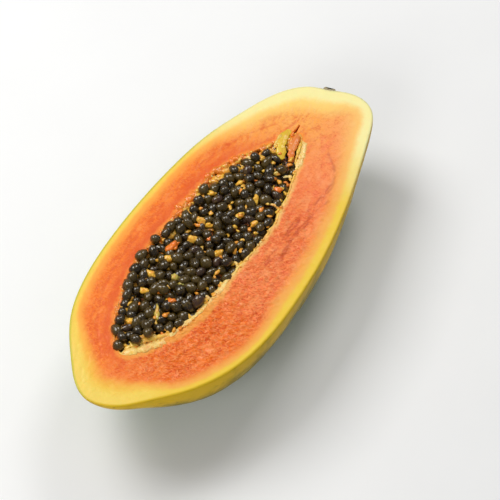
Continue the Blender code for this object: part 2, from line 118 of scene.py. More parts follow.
SPLIT = ((88.0, 14.0), (92.0, 14.4), (99.0, 15.4))
SPLIT_DEPTH = 3.5

# The seeds, placed by the same kind of rule as the solid's, and the shreds among them.
SEED_AXES = (3.8, 3.15, 3.0)
SEED_COUNT = 168
SEED_SPACING = 6.7
SEED_WALL = (0.6, 5.4)
SEED_SEED = 11
BED_EDGE_DROP = 3.6
BED_MIDDLE_DROP = 2.6
BED_SLOPE = 8.0
SEED_LOW, SEED_HIGH = -1.7, 1.7
SEED_STEPS = 220
SEED_CROWDED = 4.4
SEEDS_BELOW = 150
SEEDS_PILED = 14
SHRED_COUNT = 130
STRAND_STEPS = 12
STRAND_CLEARANCE = 4.6
RIM_COUNT = 260
RIM_REACH = 7.0

# Pale seeds and loose stalks: x, y, length, width, heading, and how orange, from 0 for pale green to 1.
LOOSE_BITS = (
    (-81, 11.5, 6.0, 3.6, -45, 0.5), (-59, 19, 6.0, 3.8, -68, 0.5), (-47, 22.5, 6.5, 3.8, 90, 0.35),
    (-31, 20.5, 6.0, 3.6, -45, 0.4), (-22.5, 24, 9.0, 4.2, -12, 1.0), (-11.5, 17.5, 5.6, 4.4, -53, 0.4),
    (3, 22, 5.8, 4.4, 90, 0.3), (3, 15.5, 5.0, 3.2, -63, 0.4), (-5, 8.5, 5.2, 3.4, -63, 0.95),
    (-66.5, 3, 9.0, 2.8, 36, 0.2), (-55, 0.5, 5.2, 3.8, -63, 0.9), (-40, 9, 4.6, 4.2, -56, 0.15),
    (-42, 3.5, 4.8, 3.8, 34, 0.1), (-10, -1.5, 5.0, 3.6, -27, 0.4), (-53, 10, 5.4, 3.2, -68, 0.9),
    (20.5, 4, 4.6, 3.4, -18, 0.5), (36.5, 4, 6.0, 3.4, 31, 0.35), (63.5, 19, 4.6, 3.4, -72, 0.3),
    (59.5, 4.5, 4.4, 3.2, -63, 0.2), (20.5, -6.5, 5.0, 3.4, -63, 0.6), (50, -3, 5.0, 3.4, 90, 0.95),
    (-78, 1.5, 5.2, 3.2, 27, 0.35), (23.5, 28.5, 5.0, 3.2, -45, 0.5),
)  # fmt: skip

# Where the darker strands of the flesh's veins run, on the right and on the left.
VEINS = (
    ((92, -12.5), (83, -24.5), (75, -28.5), (65, -29), (56, -29.5), (43, -26), (25, -27.5), (0, -30)),
    ((62, -34), (50, -31), (40, -32), (26, -31.5), (10, -35)),
    ((92, 28), (70, 40), (40, 47), (5, 49), (-35, 47), (-70, 41), (-95, 28), (-110, 12)),
)  # fmt: skip

# How finely the surfaces and the cavity's wall are divided.
FACE_ROWS = 64
SKIN_ARC = 72
WALL_ARC = 20
WALL_PLACES = 600
LIP_STATIONS = 400
BED_STATIONS = 120
BED_ARC = 40

# The stage, in metres in the model's frame.
CAMERA_PLACE = (-0.67998, -0.51939, 1.37098)
CAMERA_TARGET = (0.0033, -0.01555, 0.066)
FLOOR_REACH = 4.0


def rgb(red, green, blue):
    """A colour given in display values from 0 to 255, as linear light."""
    return tuple(((v / 255 + 0.055) / 1.055) ** 2.4 if v > 10 else v / 3294.6 for v in (red, green, blue))


# Shapes


class ClosedCurve:
    """A smooth closed curve through places in a plane: cubic spans whose knots are the chord lengths."""

    def __init__(self, places):
        self.places = np.array(places, float)
        chords = np.roll(self.places, -1, axis=0) - self.places
        self.steps = np.hypot(*chords.T)
        self.knots = np.concatenate([[0.0], np.cumsum(self.steps)])
        slopes = chords / self.steps[:, None]
        before = np.roll(self.steps, 1)
        count = len(self.places)
        matrix = np.zeros((count, count))
        here = np.arange(count)
        matrix[here, here] = 2 * (before + self.steps)
        matrix[here, here - 1] = before
        matrix[here, (here + 1) % count] = self.steps
        self.bends = np.linalg.solve(matrix, 6 * (slopes - np.roll(slopes, 1, axis=0)))

    def at(self, lengths):
        """Places on the curve at these chord lengths from its first place, and the inward normals there."""
        lengths = np.asarray(lengths, float) % self.knots[-1]
        span = np.clip(np.searchsorted(self.knots, lengths, side="right") - 1, 0, len(self.places) - 1)
        after = (span + 1) % len(self.places)
        step = self.steps[span][:, None]
        far = (lengths - self.knots[span])[:, None]
        near = step - far
        bend_0, bend_1 = self.bends[span], self.bends[after]
        place_0, place_1 = self.places[span], self.places[after]
        line_0 = place_0 / step - bend_0 * step / 6
        line_1 = place_1 / step - bend_1 * step / 6
        places = (bend_0 * near**3 + bend_1 * far**3) / (6 * step) + line_0 * near + line_1 * far
        along = (bend_1 * far**2 - bend_0 * near**2) / (2 * step) - line_0 + line_1
        along /= np.hypot(*along.T)[:, None]
        return places, np.stack([along[:, 1], -along[:, 0]], axis=1)

    def sides(self, end, shares, inset=0.0):
        """The left and right edges at shares of the way from the first place to the one numbered end."""
        turn = self.knots[end]
        left, left_in = self.at(shares * turn)
        right, right_in = self.at(self.knots[-1] - shares * (self.knots[-1] - turn))
        return left + inset * left_in, right + inset * right_in

    def ring(self, end, stations, inset=0.0):
        """Once round through the stations of both sides: out along the left, back along the right."""
        left, right = self.sides(end, eased(stations), inset)
        return np.concatenate([left, right[-2::-1]])


CUT = ClosedCurve(CUT_EDGE)
CAVITY = ClosedCurve(CAVITY_EDGE)


def eased(count):
    """Shares from 0 to 1, close together at both ends, where an outline is blunt."""
    return (1 - np.cos(np.linspace(0, math.pi, count + 1))) / 2


def smooth(value, low, high):
    """Rises from 0 at low to 1 at high, level at both."""
    share = np.clip((value - low) / (high - low), 0, 1)
    return share * share * (3 - 2 * share)


LATTICE_SIDE = 64
LATTICE = np.random.default_rng(77).uniform(-1, 1, (LATTICE_SIDE,) * 3)


def noise(points, cell, layers=1):
    """Smooth random field from -1 to 1: numbers at a lattice's corners, eased between, then finer layers."""
    total = 0.0
    for layer in range(layers):
        scaled = points * (2**layer) / cell + 17.3 * layer
        base = np.floor(scaled).astype(int)
        part = scaled - base
        part = part * part * (3 - 2 * part)
        base %= LATTICE_SIDE - 1
        value = 0.0
        for corner in np.ndindex(2, 2, 2):
            weight = np.prod(np.where(corner, part, 1 - part), axis=-1)
            value = value + weight * LATTICE[tuple((base + corner)[..., axis] for axis in range(3))]
        total = total + value * 0.5**layer
    return total


def spread(flat, height=0.0):
    """Plane places with a height, as places in space."""
    column = np.broadcast_to(np.asarray(height)[..., None], (*flat.shape[:-1], 1))
    return np.concatenate([flat, column], axis=-1)


def swung(x, y, angle):
    """Two coordinates after a turn by this angle, from x towards y."""
    cos, sin = np.cos(angle), np.sin(angle)
    return x * cos - y * sin, x * sin + y * cos


def for_each(numbers, grid):
    """One number for each body of a stack of grids, at all of its points."""
    return np.broadcast_to(numbers[:, None, None], grid.shape[:3])


def trough(left, right, arc, depth_share, drop_angle=0.0):
    """Points on arcs that hang from the left edge to the right edge, one arc for each station.

    An arc is part of a circle round an axis below the edges by drop_angle, stretched by depth_share.
    """
    middle = (left + right) / 2
    across = (left - right) / 2
    radius = np.hypot(*across.T) / math.cos(drop_angle)
    turn = np.linspace(-drop_angle, math.pi + drop_angle, arc + 1)
    sideways = np.cos(turn) / math.cos(drop_angle)
    down = (np.sin(turn) + math.sin(drop_angle)) * depth_share
    flat = middle[:, None, :] + across[:, None, :] * sideways[None, :, None]
    return spread(flat, -radius[:, None] * down[None, :])


def skin_grid(stations, arc):
    """The papaya's skin below the cut: arcs with five low lobes, a dimple at the stem and a flat spot."""
    left, right = CUT.sides(STEM_PLACE, eased(stations))
    drop_angle = math.asin(AXIS_DROP / max(y for _, y in CUT_EDGE))
    grid = trough(left, right, arc, 1.0, drop_angle)
    turn = np.linspace(0, math.pi, arc + 1)
    lobe = 1 + LOBE_HEIGHT * np.sin(turn) * np.cos(LOBES * (turn - math.pi / 2))
    middle = ((left + right) / 2)[:, None, :]
    grid[:, :, :2] = middle + (grid[:, :, :2] - middle) * lobe[None, :, None]
    grid[:, :, 2] *= lobe[None, :] * (1 + 2 * DEPTH_LEAN * grid[:, :, 0] / np.ptp(left[:, 0]))
    from_tip = np.clip((grid[:, :, 0] - CUT_EDGE[0][0]) / TIP_REACH, 0, 1)
    grid[:, :, 2] *= 1 - TIP_RISE * (1 - from_tip) ** 2
    scar = np.array([*CUT_EDGE[STEM_PLACE], 0.0])
    away = np.linalg.norm(grid - scar, axis=2)
    grid[:, :, 0] -= DIMPLE_DEPTH * np.exp(-((away / DIMPLE_WIDTH) ** 2))
    grid[:, :, 2] *= (CUT_HEIGHT + FLAT_SAG) / -grid[:, :, 2].min()
    grid[:, :, 2] = np.maximum(grid[:, :, 2], -CUT_HEIGHT)
    return grid


def nearest(flat, line, closed=True):
    """Distance of plane places from a line through points, worked out against each of its pieces at once."""
    start = np.asarray(line, float)
    step = np.roll(start, -1, axis=0) - start
    if not closed:
        start, step = start[:-1], step[:-1]
    length = np.maximum((step**2).sum(axis=1), 1e-12)
    result = np.empty(len(flat))
    for first in range(0, len(flat), PLACES_AT_ONCE):
        away = flat[first : first + PLACES_AT_ONCE, None, :] - start[None, :, :]
        share = np.clip((away * step).sum(axis=2) / length, 0, 1)
        off = away - share[:, :, None] * step
        result[first : first + PLACES_AT_ONCE] = np.sqrt((off**2).sum(axis=2).min(axis=1))
    return result


def tubes(lines, radii, around, flatness):
    """Tapering stalks: a ring of points round each place of each centre line.

    lines is stalks by places by 3, radii is stalks by places. A ring stands across its line's direction.
    """
    ahead = np.gradient(lines, axis=1)
    ahead /= np.linalg.norm(ahead, axis=2, keepdims=True)
    side = np.cross(ahead, (0.0, 0.0, 1.0))
    side /= np.maximum(np.linalg.norm(side, axis=2, keepdims=True), 1e-9)
    over = np.cross(side, ahead)
    turn = np.linspace(0, 2 * math.pi, around + 1)
    cos, sin = np.cos(turn)[:, None], flatness * np.sin(turn)[:, None]
    ring = cos * side[:, :, None, :] + sin * over[:, :, None, :]
    return lines[:, :, None, :] + radii[:, :, None, None] * ring


def turned(headings, tilts):
    """One 3 by 3 turn for each heading about +Z, after a tilt about its own Y."""
    cos_h, sin_h, cos_t, sin_t = np.cos(headings), np.sin(headings), np.cos(tilts), np.sin(tilts)
    zero = np.zeros_like(cos_h)
    return np.stack([
        np.stack([cos_h * cos_t, -sin_h, cos_h * sin_t], axis=-1),
        np.stack([sin_h * cos_t, cos_h, sin_h * sin_t], axis=-1),
        np.stack([-sin_t, zero, cos_t], axis=-1),
    ], axis=-2)


def add_piece(name, grids, finishes, values, nodes, sharp=math.pi, parts=None):
    """An object from grids of points, welded where they meet, that rides on the papaya.

    A grid is rows by columns by 3, or a stack of those. values gives numbers for each point, as named
    attributes that the materials read. parts gives each grid's place among the finishes.
    """
    points, quads, part_of = [], [], []
    start = 0
    for number, grid in enumerate(grids):
        stack = grid.reshape(-1, *grid.shape[-3:])
        index = start + np.arange(stack[..., 0].size).reshape(stack.shape[:3])
        corners = (index[:, :-1, :-1], index[:, :-1, 1:], index[:, 1:, 1:], index[:, 1:, :-1])
        faces = np.stack(corners, axis=-1).reshape(-1, 4)
        points.append(stack.reshape(-1, 3))
        quads.append(faces)
        part_of.append(np.full(len(faces), parts[number] if parts else 0))
        start += stack[..., 0].size
    points, quads, part_of = np.concatenate(points), np.concatenate(quads), np.concatenate(part_of)
    cells = np.round(points / WELD).astype(np.int64)
    _, first, same = np.unique(cells, axis=0, return_index=True, return_inverse=True)
    quads = same.ravel()[quads]
    repeat = quads == np.roll(quads, -1, axis=1)
    whole = ~repeat.any(axis=1)
    single = repeat.sum(axis=1) == 1
    thin = quads[single]
    keep = ~repeat[single]
    triangles = thin[keep].reshape(-1, 3)
    faces = quads[whole].tolist() + triangles.tolist()
    part_of = np.concatenate([part_of[whole], part_of[single]])
    placed = (points[first] + (-MIDDLE[0], -MIDDLE[1], CUT_HEIGHT)) * MM
    mesh = bpy.data.meshes.new(name)
    mesh.from_pydata(placed.tolist(), [], faces)
    for key, grids_numbers in values.items():
        numbers = np.concatenate([part.ravel() for part in grids_numbers])
        layer = mesh.attributes.new(key, "FLOAT", "POINT")
        layer.data.foreach_set("value", numbers[first].astype(np.float32))
    mesh.polygons.foreach_set("material_index", part_of.astype(np.int32))
    point_outwards(mesh)
    mesh.shade_smooth()
    if sharp < math.pi:
        mesh.set_sharp_from_angle(angle=sharp)
    for finish in finishes:
        mesh.materials.append(finish.material)
    piece = add_object(name, mesh)
    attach(piece, "root")
    if nodes:
        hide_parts(*nodes)


def add_object(name, data):
    """An object of the scene that holds this mesh, light or camera."""
    made = bpy.data.objects.new(name, data)
    bpy.context.collection.objects.link(made)
    return made


def point_outwards(mesh):
    """Each closed body's faces are turned to point out of it."""
    bm = bmesh.new()
    bm.from_mesh(mesh)
    bmesh.ops.recalc_face_normals(bm, faces=bm.faces)
    if bm.calc_volume(signed=True) < 0:
        bmesh.ops.reverse_faces(bm, faces=bm.faces)
    bm.to_mesh(mesh)
    bm.free()


# Finishes


def maths(operation, swapped=False):
    """Arithmetic for a link: a Math node on the link and another number, in this order or swapped."""

    def method(link, other=0.0):
        first, second = (other, link) if swapped else (link, other)
        return link.finish.node("ShaderNodeMath", {"operation": operation}, {0: first, 1: second})

    return method


class Link:
    """One output among a material's nodes. Arithmetic on it adds Math nodes."""

    __add__ = __radd__ = maths("ADD")
    __sub__ = maths("SUBTRACT")
    __rsub__ = maths("SUBTRACT", swapped=True)
    __mul__ = maths("MULTIPLY")
    __truediv__ = maths("DIVIDE")
    __abs__ = maths("ABSOLUTE")

    def __init__(self, finish, socket):
        self.finish = finish
        self.socket = socket

    def rise(self, low, high, start=0.0, end=1.0):
        """Goes smoothly from start at low to end at high."""
        values = {0: self, 1: low, 2: high, 3: start, 4: end}
        return self.finish.node("ShaderNodeMapRange", {"interpolation_type": "SMOOTHSTEP"}, values)


class Finish:
    """A material, and the nodes that give it its detail. constants are fixed values of the shader."""

    def __init__(self, name, **constants):
        self.material = bpy.data.materials.new(name)
        self.material.use_nodes = True
        self.tree = self.material.node_tree
        self.shader = self.tree.nodes["Principled BSDF"]
        for key, value in constants.items():
            self.shader.inputs[key.replace("_", " ")].default_value = value

    def node(self, kind, settings, values, output=0):
        """Adds a node: its settings first, then the values or links of its sockets."""
        node = self.tree.nodes.new(kind)
        for key, value in settings.items():
            setattr(node, key, value)
        for key, value in values.items():
            if isinstance(value, Link):
                self.tree.links.new(value.socket, node.inputs[key])
            else:
                node.inputs[key].default_value = value
        return Link(self, node.outputs[output])

    def place(self):
        """Object coordinates, in millimetres."""
        where = self.node("ShaderNodeTexCoord", {}, {}, "Object")
        return self.node("ShaderNodeVectorMath", {"operation": "SCALE"}, {0: where, "Scale": 1 / MM})

    def parts(self, vector):
        """The three numbers of a vector."""
        split = self.node("ShaderNodeSeparateXYZ", {}, {0: vector}, 0)
        return [Link(self, socket) for socket in split.socket.node.outputs]

    def vector(self, x, y, z):
        """A vector from three numbers or links."""
        return self.node("ShaderNodeCombineXYZ", {}, {0: x, 1: y, 2: z})

    def number(self, name):
        """A named attribute of the mesh."""
        return self.node("ShaderNodeAttribute", {"attribute_name": name}, {}, "Fac")

    def grain(self, vector, cell, detail=2.0, roughness=0.5, warp=0.0):
        """Noise whose features are about cell millimetres across."""
        values = {"Vector": vector, "Scale": 1 / cell}
        values.update({"Detail": detail, "Roughness": roughness, "Distortion": warp})
        return self.node("ShaderNodeTexNoise", {}, values)

    def curl(self, vector, cell, amount):
        """A place moved by up to half of amount each way, so that what is drawn there curls."""
        values = {"Vector": vector, "Scale": 1 / cell, "Detail": 1.0}
        sway = self.node("ShaderNodeTexNoise", {}, values, 1)
        moved = {0: sway, 1: (amount,) * 3, 2: vector}
        return self.node("ShaderNodeVectorMath", {"operation": "MULTIPLY_ADD"}, moved)

    def mix(self, share, first, second):
        """One colour over another. A colour is a link or three numbers."""
        first, second = (value if isinstance(value, Link) else (*value, 1.0) for value in (first, second))
        return self.node("ShaderNodeMix", {"data_type": "RGBA"}, {0: share, 6: first, 7: second}, 2)

    def over(self, colour, *layers):
        """A colour with further ones laid over it in turn, each given as its share and the colour."""
        for share, layer in layers:
            colour = self.mix(share, colour, layer)
        return colour

    def feed(self, name, value):
        """Links a value to the shader's input."""
        self.tree.links.new(value.socket, self.shader.inputs[name])

    def wear(self, colour, roughness, relief, depth, strength):
        """Links a colour, a roughness and a fine relief, with its depth in millimetres, to the shader."""
        values = {"Strength": strength, "Distance": depth * MM, "Height": relief}
        self.feed("Base Color", colour)
        self.feed("Roughness", roughness)
        self.feed("Normal", self.node("ShaderNodeBump", {}, values))
        return self


def flesh_finish(settings):
    """Wet flesh: a pale rind under the skin, then yellow, then deep orange, with curled fibres and veins.

    Each band's place is its depth under the skin, divided by a width that grows towards both tips. The
    fibres are lines where a noise, drawn out along a slant and curled by a second one, passes its middle.
    Places are in millimetres, x along the fruit towards the stem and y across it towards the left.
    """
    made = Finish(
        "papaya_flesh", Subsurface_Weight=0.08, Subsurface_Scale=0.003, Subsurface_Radius=(1.0, 0.35, 0.12),
        Coat_Roughness=0.3, Specular_IOR_Level=0.3,
    )  # fmt: skip
    where = made.place()
    x, y, _ = made.parts(where)
    depth = made.number("under_skin")
    wide = made.grain(where, 22, 3, 0.55) - 0.5
    fine = made.grain(where, 4.5, 3, 0.6) - 0.5
    stem = (x + y * 0.25 + wide * 30 + fine * 8).rise(46, 112)
    tip = (x + wide * 20).rise(-92, -138)
    right = (y + wide * 14).rise(12, -12)
    low = x.rise(-10, -50)
    width = 1 + stem * 0.9 + x.rise(90, 122) * y.rise(-15, 12) * 0.8 + tip * 1.9
    width = width + right * (1 - low) * (1 - stem) * (1 - tip) * 0.5
    band = depth / width + wide * 2.2 + fine * 1.3
    patch = made.grain(made.vector(x * 0.45, y, 0.0), 6, 3, 0.6, 0.8)
    speck = made.grain(made.vector(x, y * 0.6, 0.0), 1.5, 2, 0.65, 0.6)
    turn = {"Vector": made.curl(where, 3.6, 3.6), "Angle": FIBRE_SLANT}
    along, across, over = made.parts(made.node("ShaderNodeVectorRotate", {"rotation_type": "Z_AXIS"}, turn))
    strokes = abs(made.grain(made.vector(along * 0.4, across, over), 1.7, 1.5, 0.5) - 0.5).rise(0.07, 0.0)
    lit = abs(made.grain(made.vector(along * 0.45, across, over + 40), 1.9, 1.5, 0.5) - 0.5).rise(0.06, 0.0)
    woolly = right * (x + wide * 30).rise(76, 20) * (x + wide * 20).rise(-124, -88) * band.rise(7, 12)
    strength = 0.34 + woolly * x.rise(25, -25, 0.28, 0.5)
    broken = made.grain(made.vector(x * 0.4, y, 0.0), 4.5, 3, 0.6).rise(0.36, 0.52)
    vein = made.number("vein") * broken * right.rise(0.0, 1.0, 0.4, 0.62)
    near = made.number("from_hollow") + fine * 5

    def by_place(left, by_stem, by_tip):
        """The colour on the left, and the two on the right, towards the stem and towards the tip."""
        return made.mix(right, left, made.mix(low, by_stem, by_tip))

    flesh = made.over(
        made.mix(right, settings.left_flesh, settings.right_flesh),
        (right * low, rgb(242, 112, 10)),
        (stem * 0.95, made.mix(y.rise(-20, 25), rgb(252, 154, 74), rgb(254, 182, 82))),
        (tip, rgb(241, 118, 14)),
        (patch.rise(0.52, 0.34) * 0.55, by_place(rgb(228, 88, 8), rgb(250, 120, 74), rgb(234, 96, 22))),
        (patch.rise(0.5, 0.68) * 0.5, by_place(rgb(254, 148, 48), rgb(255, 160, 96), rgb(254, 142, 62))),
        (speck.rise(0.52, 0.64) * 0.32, made.mix(right, rgb(255, 160, 54), rgb(255, 156, 88))),
        (speck.rise(0.46, 0.34) * 0.34, rgb(226, 84, 16)),
        (strokes * strength * patch.rise(0.7, 0.4), rgb(214, 72, 16)),
        (lit * strength * 0.65, rgb(255, 164, 96)),
        (vein, made.mix(right, rgb(220, 72, 12), rgb(190, 62, 22))),
        (near.rise(11, 3) * (1 - right) * (1 - stem) * 0.7, rgb(226, 84, 10)),
        (
            (near - right * low * 3.0).rise(3.4, 0.5) * 0.85,
            by_place(rgb(250, 146, 44), rgb(250, 196, 108), rgb(246, 166, 70)),
        ),
    )
    rind = made.over(
        made.mix(right, settings.rind, rgb(241, 202, 56)),
        (stem, rgb(250, 238, 162)),
        (tip, rgb(243, 210, 92)),
    )
    light = made.over(
        made.mix(right, rgb(253, 168, 60), rgb(246, 176, 72)),
        (stem, made.mix(y.rise(-20, 15), rgb(254, 196, 104), rgb(254, 212, 112))),
        (tip, rgb(243, 198, 66)),
    )
    edge = made.mix(stem, made.mix(right, rgb(196, 186, 44), rgb(222, 184, 34)), rgb(236, 228, 158))
    colour = made.over(
        rind,
        (band.rise(2.2, 5.0), light),
        (band.rise(3.9, 10.8), flesh),
        (depth.rise(1.9, 0.3), edge),
        # The split's dark red is partly the torn flesh's own deeper red and partly painted shade inside the
        # crack.
        (made.number("split").rise(0.15, 0.7), rgb(176, 34, 12)),
    )
    made.feed("Coat Weight", patch.rise(0.3, 0.7, 0.02, 0.14))
    relief = made.grain(where, 1.4, 2, 0.6) * 0.3 - strokes * (0.25 + woolly)
    return made.wear(colour, 0.46 + strokes * 0.1 - patch * 0.1, relief, 0.22, 0.7)


def skin_finish(settings):
    """Thin waxy skin: yellow where it is ripe, green below and to the left, with pores and faint scars; the
    darker olive towards the bottom is partly unripe skin and partly painted shade.
    """
    made = Finish("papaya_skin", Coat_Weight=0.03, Coat_Roughness=0.3, Specular_IOR_Level=0.12)
    where = made.place()
    x, y, z = made.parts(where)
    blotches = made.grain(where, 34, 4, 0.6, 0.5) - 0.5
    mottle = made.grain(where, 6, 3, 0.6) - 0.5
    # The rise towards the bottom (z) turns the skin olive and then green: partly the unripe underside's own
    # colour, partly painted shade.
    green = z.rise(64, 22) * 0.95 + y.rise(-10, 50) * 0.45 + blotches * 1.2 + mottle * 0.4
    green = green + x.rise(-70, -130) * z.rise(62, 48) * 0.2
    streak = made.grain(made.vector(x * 0.16, y, z), 3.4, 3, 0.6, 0.4)
    pores = made.node("ShaderNodeTexVoronoi", {"feature": "F1"}, {"Vector": where, "Scale": 1 / 3.2})
    spots = pores.rise(0.2, 0.08) * made.grain(where, 9, 2).rise(0.45, 0.6)
    marks = made.grain(made.vector(x * 0.25, y, z + 30), 5, 4, 0.7, 0.8)
    colour = made.over(
        settings.ripe_skin,
        (green.rise(0.0, 0.5), rgb(138, 118, 2)),
        (green.rise(0.4, 1.1), settings.green_skin),
        (streak.rise(0.5, 0.72) * 0.4, rgb(196, 178, 40)),
        (spots * 0.4, rgb(206, 186, 88)),
        (marks.rise(0.62, 0.76) * (0.35 + x.rise(-60, -125) * 0.4), rgb(92, 66, 14)),
    )
    relief = made.grain(where, 2.2, 3, 0.6) * 0.6 - pores.rise(0.25, 0.0) * 0.6
    return made.wear(colour, 0.4 + mottle * 0.16 + spots * 0.2, relief, 0.12, 0.7)


def placenta_finish(settings):
    """Moist torn tissue, from cream at its ragged edge to orange at its root, streaked along its fibres, with
    painted shade that darkens it deeper in the cavity, most on the left wall.
    """
    made = Finish(
        "placenta_tissue", Subsurface_Weight=0.15, Subsurface_Scale=0.003, Subsurface_Radius=(1.0, 0.5, 0.2),
        Coat_Weight=0.4, Coat_Roughness=0.12,
    )  # fmt: skip
    where = made.place()
    _, y, z = made.parts(where)
    tone = made.number("tone")
    streak = made.grain(where, 1.5, 3, 0.6, 0.8)
    patch = made.grain(where, 9, 2) + (streak - 0.5) * 0.5
    colour = made.over(
        rgb(240, 148, 44),
        (patch.rise(0.32, 0.58), settings.tissue),
        (tone.rise(0.5, 0.95) * streak.rise(0.25, 0.6), rgb(254, 224, 146)),
        (tone.rise(0.4, 0.0) * 0.85, rgb(232, 116, 38)),
        (made.number("green") * streak.rise(0.2, 0.45), rgb(230, 200, 24)),
        (made.grain(where, 0.9, 2, 0.6, 1.5).rise(0.5, 0.68) * 0.35, rgb(214, 116, 24)),
        # Painted shade: darker brown-orange deeper below the cut face, strongest on the left wall of the
        # cavity.
        ((CUT_HEIGHT - z).rise(1.5, 7) * (0.5 + y.rise(-20, 20) * 0.5), rgb(176, 84, 22)),
    )
    return made.wear(colour, 0.34 + streak * 0.3, streak + made.grain(where, 0.7, 2), 0.3, 0.8)


def seed_finish(settings):
    """Black seeds in clear wet skins: near black with olive and brown tones, under a hard gloss."""
    made = Finish(
        "wet_seeds", Coat_Weight=0.9, Coat_Roughness=0.07, Coat_IOR=1.6, Specular_IOR_Level=0.3,
        Specular_Tint=(1.0, 0.8, 0.45, 1.0),
    )  # fmt: skip
    where = made.place()
    tone = made.number("tone")
    cloud = made.grain(where, 2.2, 3, 0.6, 0.5)
    ridges = made.grain(where, 1.3, 3, 0.6, 1.4)
    colour = made.over(
        settings.seed_colour,
        (tone.rise(0.3, 0.95), rgb(68, 52, 14)),
        (tone.rise(0.1, 0.0), rgb(66, 42, 34)),
        (cloud.rise(0.46, 0.7) * 0.6, rgb(100, 78, 24)),
        (ridges.rise(0.56, 0.7) * 0.2, rgb(120, 96, 56)),
    )
    return made.wear(colour, 0.14 + cloud * 0.2, ridges + cloud, 0.5, 0.8)


def bit_finish(settings):
    """Pale seeds and stalks: translucent yellow, some orange, some green."""
    made = Finish(
        "pale_seeds", Subsurface_Weight=0.3, Subsurface_Scale=0.003, Subsurface_Radius=(1.0, 0.6, 0.25),
        Coat_Weight=0.6, Coat_Roughness=0.15,
    )  # fmt: skip
    tone = made.number("tone")
    cloud = made.grain(made.place(), 1.8, 3, 0.6, 0.6)
    colour = made.over(
        rgb(192, 186, 92),
        (tone.rise(0.05, 0.4), settings.pale_seed),
        (tone.rise(0.5, 0.95), rgb(248, 128, 24)),
        (cloud.rise(0.45, 0.7) * 0.6, rgb(238, 120, 22)),
    )
    return made.wear(colour, 0.3 + cloud * 0.3, cloud, 0.3, 0.7)


def bed_finish():
    """The torn tissue between the seeds: wet, with orange shreds over dark brown, and the dark brown is
    painted shade deep between the seeds.
    """
    made = Finish("seed_bed", Coat_Weight=0.5, Coat_Roughness=0.2)
    shred = made.grain(made.place(), 3.2, 4, 0.65, 1.2)
    # Painted shade: the dark brown between the orange shreds stands for the shade deep in the gaps between
    # the seeds.
    colour = made.mix(shred.rise(0.42, 0.66), rgb(54, 28, 8), rgb(196, 104, 26))
    return made.wear(colour, 0.3 + shred * 0.35, shred, 0.9, 0.9)


def cork_finish():
    """Dry corky remains of the stem."""
    made = Finish("corky_scar")
    rough = made.grain(made.place(), 1.2, 4, 0.7)
    colour = made.mix(rough.rise(0.35, 0.65), rgb(128, 114, 84), rgb(196, 184, 150))
    return made.wear(colour, 0.7 + rough * 0.25, rough, 0.5, 1.0)


def floor_finish(settings):
    """A matt white board."""
    made = Finish("floor", Roughness=0.7, Specular_IOR_Level=0.1)
    tooth = made.grain(made.place(), 60, 3)
    made.feed("Base Color", made.mix(tooth, settings.floor_colour, rgb(250, 250, 249)))
    return made


# Pieces


def cavity_ring(stations, inset=0.0):
    """The cavity's edge once round, torn in and out a little."""
    ring = CAVITY.ring(CAVITY_END, stations, inset)
    inward = CAVITY.ring(CAVITY_END, stations, inset + 1.0) - ring
    places = spread(ring)
    tear = 0.35 * noise(places, 5.0, 2) + 0.25 * noise(places + 40, 1.8) + 0.9 * noise(places + 90, 12.0)
    return ring + inward * tear[:, None]


def as_sides(ring):
    """The left and right edges again, from a ring."""
    count = len(ring) // 2
    return ring[: count + 1], ring[: count - 1 : -1]


def put_on_rim(grid, rim):
    """Moves the first and last rows and columns of a trough onto a rim, which is a ring in space."""
    left, right = as_sides(rim)
    grid[:, 0], grid[:, -1] = left, right
    grid[0], grid[-1] = left[0], left[-1]


